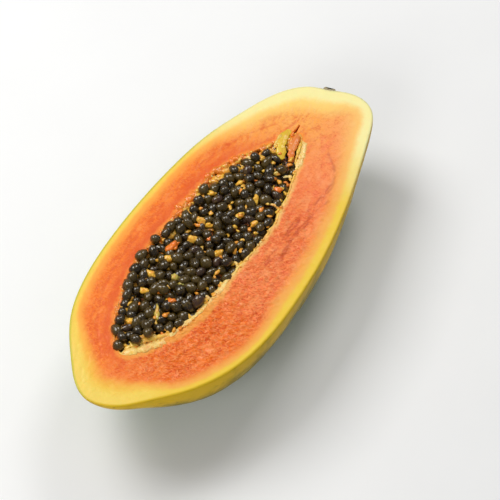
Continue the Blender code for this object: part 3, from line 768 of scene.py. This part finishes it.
def build_fruit(settings):
    """The fruit half as one closed surface: skin, cut face and the wall of the seed cavity.

    The cut face goes straight from each place on the skin's edge to its partner on the cavity's edge. Its
    height is a low relief of curled fibres, a groove where the flesh has split, and a soft roll at the skin.
    """
    skin = skin_grid(settings.stations, SKIN_ARC)
    skin[:, [0, -1], 2] = -EDGE_ROLL
    swell = noise(skin, 30.0, 2) * 0.5 + noise(skin, 8.0) * 0.12
    fade = smooth(-skin[:, :, 2], 0.5, 8) * smooth(skin[:, :, 2] + CUT_HEIGHT, 0.0, 1.0)
    outward = skin - SWELL_CENTRE
    outward /= np.linalg.norm(outward, axis=2, keepdims=True)
    skin += outward * (swell * fade)[:, :, None]
    outer = np.concatenate([skin[:, 0, :2], skin[-2::-1, -1, :2]])
    inner = cavity_ring(settings.stations)
    reach = np.hypot(*(inner - outer).T)
    shares = np.concatenate([[0.0, 0.0], np.linspace(0, 1, FACE_ROWS) ** 0.94])[None, :]
    first = FIRST_ROW / reach[:, None]
    shares = np.where(np.arange(FACE_ROWS + 2) == 0, 0.0, first + (1 - first) * shares)
    flat = outer[:, None, :] + (inner - outer)[:, None, :] * shares[:, :, None]
    places = flat.reshape(-1, 2)
    under = nearest(places, outer).reshape(flat.shape[:2])
    hollow = nearest(places, inner).reshape(flat.shape[:2])
    vein = np.zeros(len(places))
    for number, line in enumerate(VEINS):
        wander = 1.4 * noise(spread(places, 30.0 * number), 9.0, 3)
        vein = np.maximum(vein, np.exp(-((nearest(places, line, False) + wander) / 0.9) ** 2))
    vein = vein.reshape(flat.shape[:2])
    relief = cut_relief(flat, under, settings.fibre_height / MM)
    relief -= 0.15 * vein * smooth(under, 2, 6)
    away = nearest(places, SPLIT, False).reshape(flat.shape[:2])
    split = np.exp(-((away / np.interp(flat[..., 0], (90, 100), (0.8, 0.2))) ** 2))
    relief -= SPLIT_DEPTH * split + 0.2 * np.exp(-((hollow / 0.9) ** 2))
    height = relief * smooth(under, 0.4, 2.5) - EDGE_ROLL * smooth(under, 0.5, 0.0)
    height[:, 0] = -EDGE_ROLL
    face = spread(flat, height)
    wall = trough(*as_sides(inner), WALL_ARC, CAVITY_DEPTH_SHARE)
    put_on_rim(wall, face[:, -1])
    on_face = {"under_skin": under, "from_hollow": hollow, "vein": vein, "split": split}
    on_wall = {"under_skin": 30.0}
    values = {
        name: [np.zeros(skin.shape[:2]), numbers, np.full(wall.shape[:2], on_wall.get(name, 0.0))]
        for name, numbers in on_face.items()
    }
    finishes = [skin_finish(settings), flesh_finish(settings)]
    add_piece(
        "fruit", [skin, face, wall], finishes, values, ("flesh_and_skin",),
        sharp=math.radians(60), parts=(0, 1, 1),
    )  # fmt: skip


def cut_relief(flat, under, height):
    """Curled fibres on the cut face: noise drawn out along a slant that differs on the two sides."""
    x, y = flat[..., 0], flat[..., 1]
    along, across = swung(x, y, np.where(y < 8, FIBRE_SLANT, -0.35))
    bend = 1.8 * noise(spread(flat, 5.0), 5.0)
    drawn = np.stack([along * 0.45, across + bend, np.zeros_like(along)], axis=-1)
    woolly = smooth(-y, 4, 16) * smooth(-x, -76, -30) * smooth(x, -115, -85) * smooth(under, 7, 12)
    return height * (0.25 + woolly) * noise(drawn, 1.5, 2) + 0.16 * noise(spread(flat, 9.0), 14.0, 2)


def fringe_strands():
    """Centre lines and radii of the torn stalks, as in the solid, evenly placed and jittered."""
    rng = np.random.default_rng(3)
    whole = CAVITY.knots[-1]
    strands = []
    for number in range(FRINGE_COUNT):
        length_along = (number + rng.uniform(-0.3, 0.3)) * whole / FRINGE_COUNT
        place, inward = (value[0] for value in CAVITY.at([length_along]))
        turned_in = np.array(swung(*inward, rng.uniform(-0.6, 0.6)))
        reach = rng.uniform(*FRINGE_LENGTH)
        rise = rng.uniform(*FRINGE_RISE)
        root = place + inward * (GAP + LINING * 0.62)
        far_end = root + turned_in * reach
        nearest_end = np.hypot(*(CAVITY.places[[0, CAVITY_END]] - far_end).T).min()
        if nearest_end < FRINGE_END_GAP:
            continue
        line = np.array([
            [*root, -1.0],
            [*((root + far_end) / 2 + turned_in[::-1] * (0.6, -0.6)), -1.0 + 0.75 * rise + 0.5],
            [*far_end, -1.0 + rise],
        ])
        strands.append((line, FRINGE_RADIUS * rng.uniform(0.8, 1.05)))
    return strands


def wall_samples():
    """Places once round the cavity's edge, and the way in from each."""
    return CAVITY.at(np.linspace(0, CAVITY.knots[-1], WALL_PLACES, endpoint=False))


def wall_push(places, edge, inward, margin):
    """The moves that take places to margin inside the cavity's edge, how far in they are, and the way in."""
    away = places[:, None, :2] - edge[None, :, :]
    closest = (away**2).sum(axis=2).argmin(axis=1)
    clear = (away[np.arange(len(places)), closest] * inward[closest]).sum(axis=1)
    return np.clip(margin - clear, 0, None)[:, None] * inward[closest], clear, inward[closest]


def shove(places, others, spacing, extra=0.0):
    """The moves that take places to spacing from the others. extra is added to their distances."""
    apart = places[:, None, :] - others[None, :, :]
    distance = np.linalg.norm(apart, axis=2) + extra
    lack = np.clip(spacing - distance, 0, None)
    return (apart / distance[:, :, None] * lack[:, :, None]).sum(axis=1)


def seed_places(edge, inward):
    """Centres of the top seeds, and the way in from the edge next to each.

    Random places are moved apart, off the loose bits and inside the cavity's edge, step by step. The seeds
    along the left edge lie highest, on top of the torn lining.
    """
    rng = np.random.default_rng(SEED_SEED)
    low, high = CAVITY.places.min(axis=0), CAVITY.places.max(axis=0)
    places = rng.uniform(low, high, (SEED_COUNT * 4, 2))
    places = places[wall_push(places, edge, inward, 0)[1] > 3][:SEED_COUNT]
    level = rng.uniform(SEED_LOW, SEED_HIGH, len(places))
    places = spread(places, level)
    margins = rng.uniform(*SEED_WALL, len(places))
    _, _, way = wall_push(places, edge, inward, 0)
    left = smooth(-way[:, 1], 0.0, 0.5) * smooth(-places[:, 0], -80, -50)
    bays = 3.2 * smooth(noise(places * (1, 1, 0), 13.0), 0.0, 0.4)
    margins += (bays + 1.8 * smooth(places[:, 0], -50, 0)) * left
    margins += 2.2 * smooth(way[:, 1], 0.0, 0.5) * smooth(-places[:, 0], 0, 20)
    bits = np.array(LOOSE_BITS)
    strands = [bent(np.array([line], float), STRAND_STEPS)[0, :, :2] for line, *_ in LONG_STRANDS]
    obstacles = np.concatenate([bits[:, :2], *strands])
    round_strands = np.full(STRAND_STEPS * len(strands), STRAND_CLEARANCE)
    clearances = np.concatenate([2.6 + 0.2 * (bits[:, 2] + bits[:, 3]), round_strands])
    itself = np.eye(len(places)) * 1e3
    for _ in range(SEED_STEPS):
        places = places + 0.45 * shove(places, places, SEED_SPACING, itself) * (1, 1, 0)
        places[:, :2] += shove(places[:, :2], obstacles, clearances)
        push, clear, way = wall_push(places, edge, inward, margins)
        places[:, :2] += push
    crowded = np.triu(np.linalg.norm(places[:, None] - places[None, :], axis=2) + itself < SEED_CROWDED)
    off = np.hypot(*(places[:, None, :2] - obstacles[None]).transpose(2, 0, 1)) - clearances
    kept = ~crowded.any(axis=0) & (off.min(axis=1) > -0.9)
    places, clear, way = places[kept], clear[kept], way[kept]
    places[:, 2] += 1.3 * smooth(clear, 7, 2) * smooth(-way[:, 1], -0.3, 0.5) - BED_MIDDLE_DROP + 2.0
    places[:, 2] -= 1.0 * smooth(clear, 7, 2) * smooth(way[:, 1], 0.0, 0.6)
    return places, clear, way


def filler_places(edge, inward, above, count, levels, apart, margin, seed):
    """Random places inside the edge that are at least apart from those above and from one another."""
    rng = np.random.default_rng(seed)
    low, high = CAVITY.places.min(axis=0), CAVITY.places.max(axis=0)
    tries = rng.uniform([*low, levels[0]], [*high, levels[1]], (count * 12, 3))
    tries = tries[wall_push(tries, edge, inward, 0)[1] > margin]
    taken = above
    kept = []
    for place in tries:
        if np.linalg.norm(taken - place, axis=1).min() > apart and len(kept) < count:
            kept.append(place)
            taken = np.vstack([taken, place])
    return np.array(kept)


def egg(rows, columns, point):
    """A seed's unit shape along X: a ball that is narrower towards +X by the share point."""
    down = np.linspace(0, math.pi, rows + 1)[:, None]
    turn = np.linspace(0, 2 * math.pi, columns + 1)[None, :]
    radius = np.sin(down) * (1 - point * np.cos(down) - 0.12 * np.cos(down) ** 3 * point)
    return np.stack([np.cos(down) + 0 * turn, radius * np.cos(turn), radius * np.sin(turn)], axis=-1)


def lumps(sizes, headings, tilts, places, rows, columns, point, roughness, cell):
    """Many small bodies: eggs whose surface is pushed in and out by noise, turned and put in place."""
    shape = egg(rows, columns, point)[None] * sizes[:, None, None, :]
    own = np.arange(len(places))[:, None, None, None] * 9.7
    dents = 1 + roughness * noise(shape + own, cell, 2)[..., None]
    dents[:, :, -1] = dents[:, :, 0]
    dents[:, [0, -1]] = 1
    return np.einsum("nij,nrcj->nrci", turned(headings, tilts), shape * dents) + places[:, None, None, :]


def build_seeds(settings):
    """Each seed is an egg with shallow dents, turned and sized by a seeded draw, with others below it."""
    rng = np.random.default_rng(SEED_SEED + 1)
    edge, inward = wall_samples()
    top, clear, way = seed_places(edge, inward)
    below = filler_places(edge, inward, top, SEEDS_BELOW, (-6.0, -3.2), 4.6, 3.2, 29)
    piled = filler_places(edge, inward, top + (0, 0, 1.5), SEEDS_PILED, (2.2, 3.0), 5.0, 5.5, 31)
    piled = piled[piled[:, 0] < 60]
    places = np.concatenate([top, below, piled])
    count = len(places)
    draws = rng.uniform(0, 1, (count, 6))
    headings = draws[:, 0] * 2 * math.pi
    by_wall = np.arctan2(way[:, 0], -way[:, 1]) + (draws[: len(top), 1] - 0.5) * 0.9
    headings[: len(top)] = np.where(clear < SEED_AXES[0] + 1, by_wall, headings[: len(top)])
    sizes = np.array(SEED_AXES) * settings.seed_length / MM / (2 * SEED_AXES[0])
    slimmer = 1 + 0.24 * (draws[:, 3:4] - 0.3) * np.array([1, -0.5, -0.5])
    sizes = sizes * (0.84 + 0.26 * draws[:, 2:3]) * slimmer
    grid = lumps(sizes, headings, (draws[:, 4] - 0.5) * 1.3, places, 6, 10, 0.16, 0.17, 2.9)
    values = {"tone": [for_each(draws[:, 5], grid)]}
    add_piece("seeds", [grid], [seed_finish(settings)], values, ("seeds",))
    build_bits(settings, edge, inward, top)
    build_bed(edge, inward)


def build_bits(settings, edge, inward, seeds):
    """Pale seeds and loose stalks, and shreds of pulp in the gaps between the seeds."""
    rng = np.random.default_rng(53)
    bits = np.array(LOOSE_BITS)
    places = spread(bits[:, :2], np.full(len(bits), 0.6))
    sizes = bits[:, [2, 3, 3]] * (0.56, 0.54, 0.5)
    grid = lumps(sizes, np.radians(bits[:, 4]), np.full(len(bits), -0.15), places, 16, 18, 0.3, 0.45, 1.7)
    gaps = filler_places(edge, inward, seeds, SHRED_COUNT, (-1.6, 0.6), 3.4, 0.6, 37)
    draws = rng.uniform(0, 1, (len(gaps), 5))
    sizes = draws[:, :3] * (1.6, 0.8, 0.6) + (1.4, 0.8, 0.5)
    shreds = lumps(sizes, draws[:, 3] * 2 * math.pi, draws[:, 1] - 0.5, gaps, 7, 8, 0.3, 0.5, 1.3)
    own = rng.uniform(0, 1, (RIM_COUNT, 5))
    spot, way = CAVITY.at(CAVITY.knots[-1] * (0.02 + 0.47 * own[:, 0]))
    torn = spread(spot + way * (RIM_REACH * own[:, 1:2] + 0.2), -1.2 - 1.4 * own[:, 1] + 0.7 * own[:, 2])
    sizes = own[:, [3, 4, 2]] * (2.2, 1.3, 0.6) + (2.0, 1.5, 1.0)
    rim = lumps(sizes, own[:, 4] * 2 * math.pi, own[:, 3] - 0.5, torn, 7, 8, 0.2, 0.4, 2.0)
    tones = (bits[:, 5], 0.3 + 0.6 * draws[:, 4], 0.95 - 0.5 * own[:, 1])
    values = {"tone": [for_each(tone, bodies) for tone, bodies in zip(tones, (grid, shreds, rim))]}
    add_piece("pale_seeds", [grid, shreds, rim], [bit_finish(settings)], values, ())


def build_bed(edge, inward):
    """The torn tissue under the seeds: a trough with a lumpy top that swells to the middle."""
    left, right = CAVITY.sides(CAVITY_END, eased(BED_STATIONS), 2 * GAP + LINING + 0.4)
    left, right = left[10:-12], right[10:-12]
    half_width = np.hypot(*(left - right).T) / 2
    depth = np.maximum(CAVITY_DEPTH_SHARE * half_width - BED_EDGE_DROP - 1.6, 0.6)
    bottom = trough(left, right, BED_ARC, 1.0)
    bottom[:, :, 2] = bottom[:, :, 2] * (depth / half_width)[:, None] - BED_EDGE_DROP - 1.2
    shares = np.linspace(0, 1, BED_ARC + 1)[None, :, None]
    top = spread(left[:, None, :] * (1 - shares) + right[:, None, :] * shares, -BED_EDGE_DROP - 1.2)
    clear = wall_push(top.reshape(-1, 3), edge, inward, 0)[1].reshape(top.shape[:2])
    height = -BED_EDGE_DROP - 1.2 + (BED_EDGE_DROP - BED_MIDDLE_DROP) * smooth(clear, 3, 3 + BED_SLOPE)
    top[1:-1, 1:-1, 2] = (height + 0.9 * noise(top, 3.0, 2))[1:-1, 1:-1]
    ends = [np.stack([top[end], bottom[end]]) for end in (0, -1)]
    add_piece("seed_bed", [top, bottom, *ends], [bed_finish()], {}, ())


def build_placenta(settings):
    """The lining: a bowl of tissue against the cavity's wall, with a torn lip.

    The lip is a band carried round the cavity: from behind the flesh it comes out on the cut face, crosses
    the edge and goes down inside. Each place's width and height come from noise.
    """
    ring = cavity_ring(LIP_STATIONS, 0.12)
    inward = cavity_ring(LIP_STATIONS, 1.12) - ring
    inward /= np.hypot(*inward.T)[:, None]
    places = spread(ring)
    ends = CAVITY.places[[0, CAVITY_END]]
    from_ends = smooth(np.hypot(*(ring[:, None] - ends).transpose(2, 0, 1)).min(axis=1), 0, 9)
    right = smooth(inward[:, 1], -0.4, 0.5)
    lip = np.clip(0.4 + 0.9 * noise(places, 3.4, 2), 0.1, 1.5) * (0.5 + 0.5 * right)
    torn = right * smooth(-ring[:, 0], 0, 25)
    reach = 0.8 + 0.5 * right + 2.0 * torn + (1.0 + 0.8 * torn) * noise(places + 50, 3.2, 2)
    reach = np.clip(reach, 0.4, None) * (0.25 + 0.75 * from_ends)
    crest = 0.14 + 0.14 * noise(places + 20, 2.4, 2)
    share = np.linspace(0, 1, 15)
    knots = np.array([0, 0.12, 0.3, 0.45, 0.65, 0.85, 1])
    out = np.interp(share, knots, [0, 1, 0.5, 0, 0, 0, 0])
    into = np.interp(share, knots, [0, 0, 0, 0.05, 0.5, 0.9, 1])
    level = np.interp(share, knots, [-2.5, -0.3, 0.02, 0.05, -0.2, -1.6, -3.4])
    raised = np.interp(share, knots, [0, 0, 0.5, 1, 1, 0.3, 0])
    across = reach[:, None] * into - lip[:, None] * out
    band = spread(ring[:, None, :] + inward[:, None, :] * across[:, :, None], level + crest[:, None] * raised)
    band[:, 2:-1, 2] += 0.12 * noise(band[:, 2:-1], 1.1, 2)
    bowls = []
    for rim, share_of_depth in ((band[:, 0], 1.0), (band[:, -1], 0.94)):
        rim_left, rim_right = as_sides(rim)
        bowl = trough(rim_left[:, :2], rim_right[:, :2], WALL_ARC, CAVITY_DEPTH_SHARE * share_of_depth)
        bowl[:, :, 2] += rim_left[:, 2:3]
        put_on_rim(bowl, rim)
        bowls.append(bowl)
    tone = np.broadcast_to((0.15 + 0.5 * right + 0.2 * torn)[:, None], band.shape[:2])
    values = {"tone": [tone, *(np.full(bowl.shape[:2], 0.3) for bowl in bowls)]}
    add_piece("placenta", [band, *bowls], [placenta_finish(settings)], values, ("placenta",))
    build_fringe(settings)


def bent(lines, count):
    """Places along a smooth curve through the places of each line, one after another."""
    own = np.linspace(0, 1, lines.shape[1])
    wanted = np.linspace(0, 1, count)
    slopes = np.gradient(lines, own, axis=1)
    span = np.clip(np.searchsorted(own, wanted, side="right") - 1, 0, len(own) - 2)
    step = own[1] - own[0]
    part = ((wanted - own[span]) / step)[None, :, None]
    start, end = lines[:, span], lines[:, span + 1]
    leave, arrive = slopes[:, span] * step, slopes[:, span + 1] * step
    return (
        start * (1 + 2 * part) * (1 - part) ** 2 + leave * part * (1 - part) ** 2
        + end * part**2 * (3 - 2 * part) + arrive * part**2 * (part - 1)
    )  # fmt: skip


def stalks(lines, widths, taper, rough, around, flatness):
    """Closed torn stalks along bent lines: tubes whose radius and line are shaken by noise."""
    lines = lines + 0.3 * rough * noise(lines, 1.6)[..., None] * np.array([1, 1, 0.6])
    radii = widths[:, None] * taper * (1 + rough * noise(lines + 60, 1.2, 2))
    radii = np.clip(radii, 0.15, None)
    grid = tubes(lines, radii, around, flatness)
    grid[:, 1:-1] += 0.14 * rough * noise(grid[:, 1:-1], 0.9)[..., None]
    grid[:, :, -1] = grid[:, :, 0]
    grid[:, 0] = grid[:, 0].mean(axis=1, keepdims=True)
    grid[:, -1] = grid[:, -1].mean(axis=1, keepdims=True)
    return grid


def build_fringe(settings):
    """Torn stalks: the solid's own, made finer, many short ones between them, and the long strands."""
    rng = np.random.default_rng(41)
    strands = fringe_strands()
    coarse = bent(np.array([line for line, _ in strands]), 12)
    widths = np.array([radius for _, radius in strands])
    blunt = np.array([0.6, 1.1, 1.1, 1.05, 1.0, 0.95, 0.9, 0.85, 0.85, 0.8, 0.6, 0.2])
    first = stalks(coarse, widths, blunt, 0.5, 12, 0.6)
    count = settings.fringe_count
    place, inward = CAVITY.at(rng.uniform(0, CAVITY.knots[-1], count))
    heading = np.stack(swung(*inward.T, rng.uniform(-1.3, 1.3, count)), axis=1)
    reach = rng.uniform(0.8, 3.0, count)[:, None]
    root = place - inward * 0.3
    rise = rng.uniform(-0.3, 0.5, count)
    fine = np.stack([
        spread(root, np.full(count, -0.5)),
        spread(root + heading * reach * 0.5, 0.1 + rise * 0.6),
        spread(root + heading * reach, -0.6 + rise * 0.6),
    ], axis=1)
    short = blunt[[0, 2, 4, 6, 8, 9, 10, 11]]
    second = stalks(bent(fine, len(short)), rng.uniform(0.3, 0.75, count), short, 0.5, 8, 0.6)
    grids = [first, second]
    tones = [rng.uniform(0.1, 1, len(bodies)) for bodies in grids]
    greens = [0, 0]
    shares, radii = [0, 0.04, 0.15, 0.5, 0.85, 0.96, 1], [0.1, 0.6, 0.9, 1.1, 0.9, 0.6, 0.1]
    swell = np.interp(np.linspace(0, 1, 40), shares, radii)
    for places, radius, tone, green in LONG_STRANDS:
        line = bent(np.array([places], float), len(swell))
        rough, flatness = min(0.45, 0.75 / radius), min(0.6, 0.85 / radius)
        grids.append(stalks(line, np.array([radius]), swell, rough, 24, flatness))
        tones.append(np.array([tone]))
        greens.append(green)
    values = {
        "tone": [for_each(tone, grid) for tone, grid in zip(tones, grids)],
        "green": [np.full(grid.shape[:3], green) for green, grid in zip(greens, grids)],
    }
    add_piece("placenta_fringe", grids, [placenta_finish(settings)], values, ())


def build_scar():
    """The stem's corky stub: rings of points from its root to its broken end, cut flat with the fruit."""
    steps, around = 12, 40
    turn = np.linspace(-math.pi, 0, around + 1)
    share = np.linspace(0, 1, steps + 1)
    out = np.array([-3.0, -1.5, -0.4, 0.4, 0.9, 1.3, 1.5, 1.45, 1.2, 0.9, 0.7, 0.6, 0.6])
    radius = np.array([4.6, 4.6, 4.5, 4.2, 3.9, 3.5, 3.0, 2.5, 2.0, 1.4, 0.9, 0.4, 0.0])
    points = np.stack([
        out[:, None] + 0 * turn[None, :], radius[:, None] * np.cos(turn), radius[:, None] * np.sin(turn),
    ], axis=-1)
    rough = 0.5 * noise(points + 50, 1.2, 2) * smooth(share, 0.15, 0.4)[:, None]
    points[..., 0] += rough
    points[..., 1:] *= (1 + 0.1 * noise(points + 9, 2.0))[..., None]
    points[..., 2] = np.minimum(points[..., 2], 0.0) - 0.1
    turned_x, turned_y = swung(points[..., 0], points[..., 1], math.radians(22))
    scar_x, scar_y = CUT_EDGE[STEM_PLACE]
    grid = np.stack([turned_x + scar_x - DIMPLE_DEPTH, turned_y + scar_y, points[..., 2]], axis=-1)
    lid = np.stack([grid[:, 0], grid[:, -1]])
    root = np.stack([grid[0], np.broadcast_to(grid[0].mean(axis=0), grid[0].shape)])
    add_piece("stem_scar", [grid, lid, root], [cork_finish()], {}, (), math.radians(35))


def build_stage(settings):
    """A white floor, a broad key light from above and behind, soft fills, and the camera."""
    mesh = bpy.data.meshes.new("floor")
    far = FLOOR_REACH
    mesh.from_pydata([(-far, -far, 0), (far, -far, 0), (far, far, 0), (-far, far, 0)], [], [(0, 1, 2, 3)])
    floor = add_object("floor", mesh)
    mesh.materials.append(floor_finish(settings).material)
    world = bpy.data.worlds.new("studio")
    world.use_nodes = True
    background = world.node_tree.nodes["Background"]
    background.inputs["Color"].default_value = (1.0, 1.0, 1.0, 1.0)
    background.inputs["Strength"].default_value = settings.fill
    bpy.context.scene.world = world
    add_light("key", (-0.10, 0.75, 1.15), 0.7, settings.key_power)
    add_light("side", (-1.1, -0.2, 0.9), 0.6, settings.key_power * 0.5, False)
    add_light("top", (0.9, 0.2, 1.2), 0.5, settings.key_power * 0.5)
    view = bpy.context.scene.view_settings
    view.view_transform = "Standard"
    view.look = "None"
    camera = bpy.data.cameras.new("camera")
    camera.lens = settings.lens
    camera.sensor_width = 36.0
    camera.clip_end = 20.0
    holder = add_object("camera", camera)
    aim(holder, CAMERA_PLACE, CAMERA_TARGET)
    bpy.context.scene.camera = holder


def aim(holder, place, target):
    """Puts a camera or a light at a place, facing its target."""
    holder.location = place
    holder.rotation_euler = (Vector(target) - Vector(place)).to_track_quat("-Z", "Y").to_euler()


def add_light(name, place, size, power, glints=True):
    """A square soft light that faces the papaya, and shows in what is glossy or not."""
    lamp = bpy.data.lights.new(name, "AREA")
    lamp.size = size
    lamp.energy = power
    holder = add_object(name, lamp)
    holder.visible_glossy = glints
    aim(holder, place, (0.0, 0.0, 0.0))


# The add-on


def colour_setting(name, description, *shown):
    """A colour that can be changed, with its default in display values."""
    return FloatVectorProperty(name=name, description=description, subtype="COLOR", default=rgb(*shown))


class PapayaFruitSettings(bpy.types.PropertyGroup):
    """Flesh and skin."""

    stations: IntProperty(name="Stations", description="Rows along the fruit", default=400, min=40)
    fibre_height: FloatProperty(
        name="Fibre height", description="Height of the fibres on the cut face", default=0.0005, unit="LENGTH"
    )
    left_flesh: colour_setting("Left flesh", "Colour of the flesh on the left", 247, 119, 8)
    right_flesh: colour_setting("Right flesh", "Colour of the flesh on the right", 248, 127, 62)
    rind: colour_setting("Rind", "Colour under the skin", 246, 207, 78)
    ripe_skin: colour_setting("Ripe skin", "Colour of the ripe skin", 218, 176, 4)
    green_skin: colour_setting("Green skin", "Colour of the unripe skin", 88, 116, 14)


class PapayaSeedSettings(bpy.types.PropertyGroup):
    """Seeds and placenta."""

    seed_length: FloatProperty(
        name="Seed length", description="Length of a seed in its skin", default=0.0084, unit="LENGTH"
    )
    fringe_count: IntProperty(name="Fine stalks", description="Stalks round the cavity", default=110, min=0)
    seed_colour: colour_setting("Seeds", "Darkest colour of the seeds", 26, 16, 5)
    pale_seed: colour_setting("Pale seeds", "Colour of the pale seeds", 252, 190, 62)
    tissue: colour_setting("Placenta", "Colour of the placenta", 254, 200, 76)


class PapayaStageSettings(bpy.types.PropertyGroup):
    """Floor, lights and camera."""

    floor_colour: colour_setting("Floor", "Colour of the floor", 246, 246, 245)
    fill: FloatProperty(name="Fill", description="Strength of the light all round", default=0.22, min=0.0)
    key_power: FloatProperty(name="Key light", description="Power of the light", default=10.5, unit="POWER")
    lens: FloatProperty(name="Lens", description="Focal length in millimetres", default=181.04, min=10.0)


class PAPAYA_OT_fruit(bpy.types.Operator):
    """Build the skin, the cut face and the stem scar"""

    bl_idname = "papaya.fruit"
    bl_label = "Fruit"

    def execute(self, context):
        build_fruit(context.scene.papaya_fruit)
        build_scar()
        return {"FINISHED"}


class PAPAYA_OT_placenta(bpy.types.Operator):
    """Build the cavity's lining and its fringe"""

    bl_idname = "papaya.placenta"
    bl_label = "Placenta"

    def execute(self, context):
        build_placenta(context.scene.papaya_seeds)
        return {"FINISHED"}


class PAPAYA_OT_seeds(bpy.types.Operator):
    """Build the seeds, the pale seeds and the tissue between them"""

    bl_idname = "papaya.seeds"
    bl_label = "Seeds"

    def execute(self, context):
        build_seeds(context.scene.papaya_seeds)
        return {"FINISHED"}


class PAPAYA_OT_stage(bpy.types.Operator):
    """Set the floor, the lights and the camera"""

    bl_idname = "papaya.stage"
    bl_label = "Stage"

    def execute(self, context):
        build_stage(context.scene.papaya_stage)
        return {"FINISHED"}


class PAPAYA_PT_panel(bpy.types.Panel):
    """Lists the pieces and their settings"""

    bl_label = "Papaya"
    bl_idname = "PAPAYA_PT_panel"
    bl_space_type = "VIEW_3D"
    bl_region_type = "UI"
    bl_category = "Papaya"

    def draw(self, context):
        for group, operators in (
            (context.scene.papaya_fruit, ("papaya.fruit",)),
            (context.scene.papaya_seeds, ("papaya.placenta", "papaya.seeds")),
            (context.scene.papaya_stage, ("papaya.stage",)),
        ):
            box = self.layout.box()
            for name in group.__annotations__:
                box.prop(group, name)
            for operator in operators:
                box.operator(operator)


SETTINGS = {
    "papaya_fruit": PapayaFruitSettings,
    "papaya_seeds": PapayaSeedSettings,
    "papaya_stage": PapayaStageSettings,
}
CLASSES = (
    *SETTINGS.values(), PAPAYA_OT_fruit, PAPAYA_OT_placenta, PAPAYA_OT_seeds, PAPAYA_OT_stage,
    PAPAYA_PT_panel,
)  # fmt: skip


def register():
    """Adds the classes and the scene's settings."""
    for each in CLASSES:
        bpy.utils.register_class(each)
    for name, group in SETTINGS.items():
        setattr(bpy.types.Scene, name, PointerProperty(type=group))


def unregister():
    """Takes them away again."""
    for name in SETTINGS:
        delattr(bpy.types.Scene, name)
    for each in reversed(CLASSES):
        bpy.utils.unregister_class(each)


def main():
    """Builds every piece."""
    register()
    bpy.ops.papaya.fruit()
    bpy.ops.papaya.placenta()
    bpy.ops.papaya.seeds()
    bpy.ops.papaya.stage()


if __name__ == "__main__":
    main()
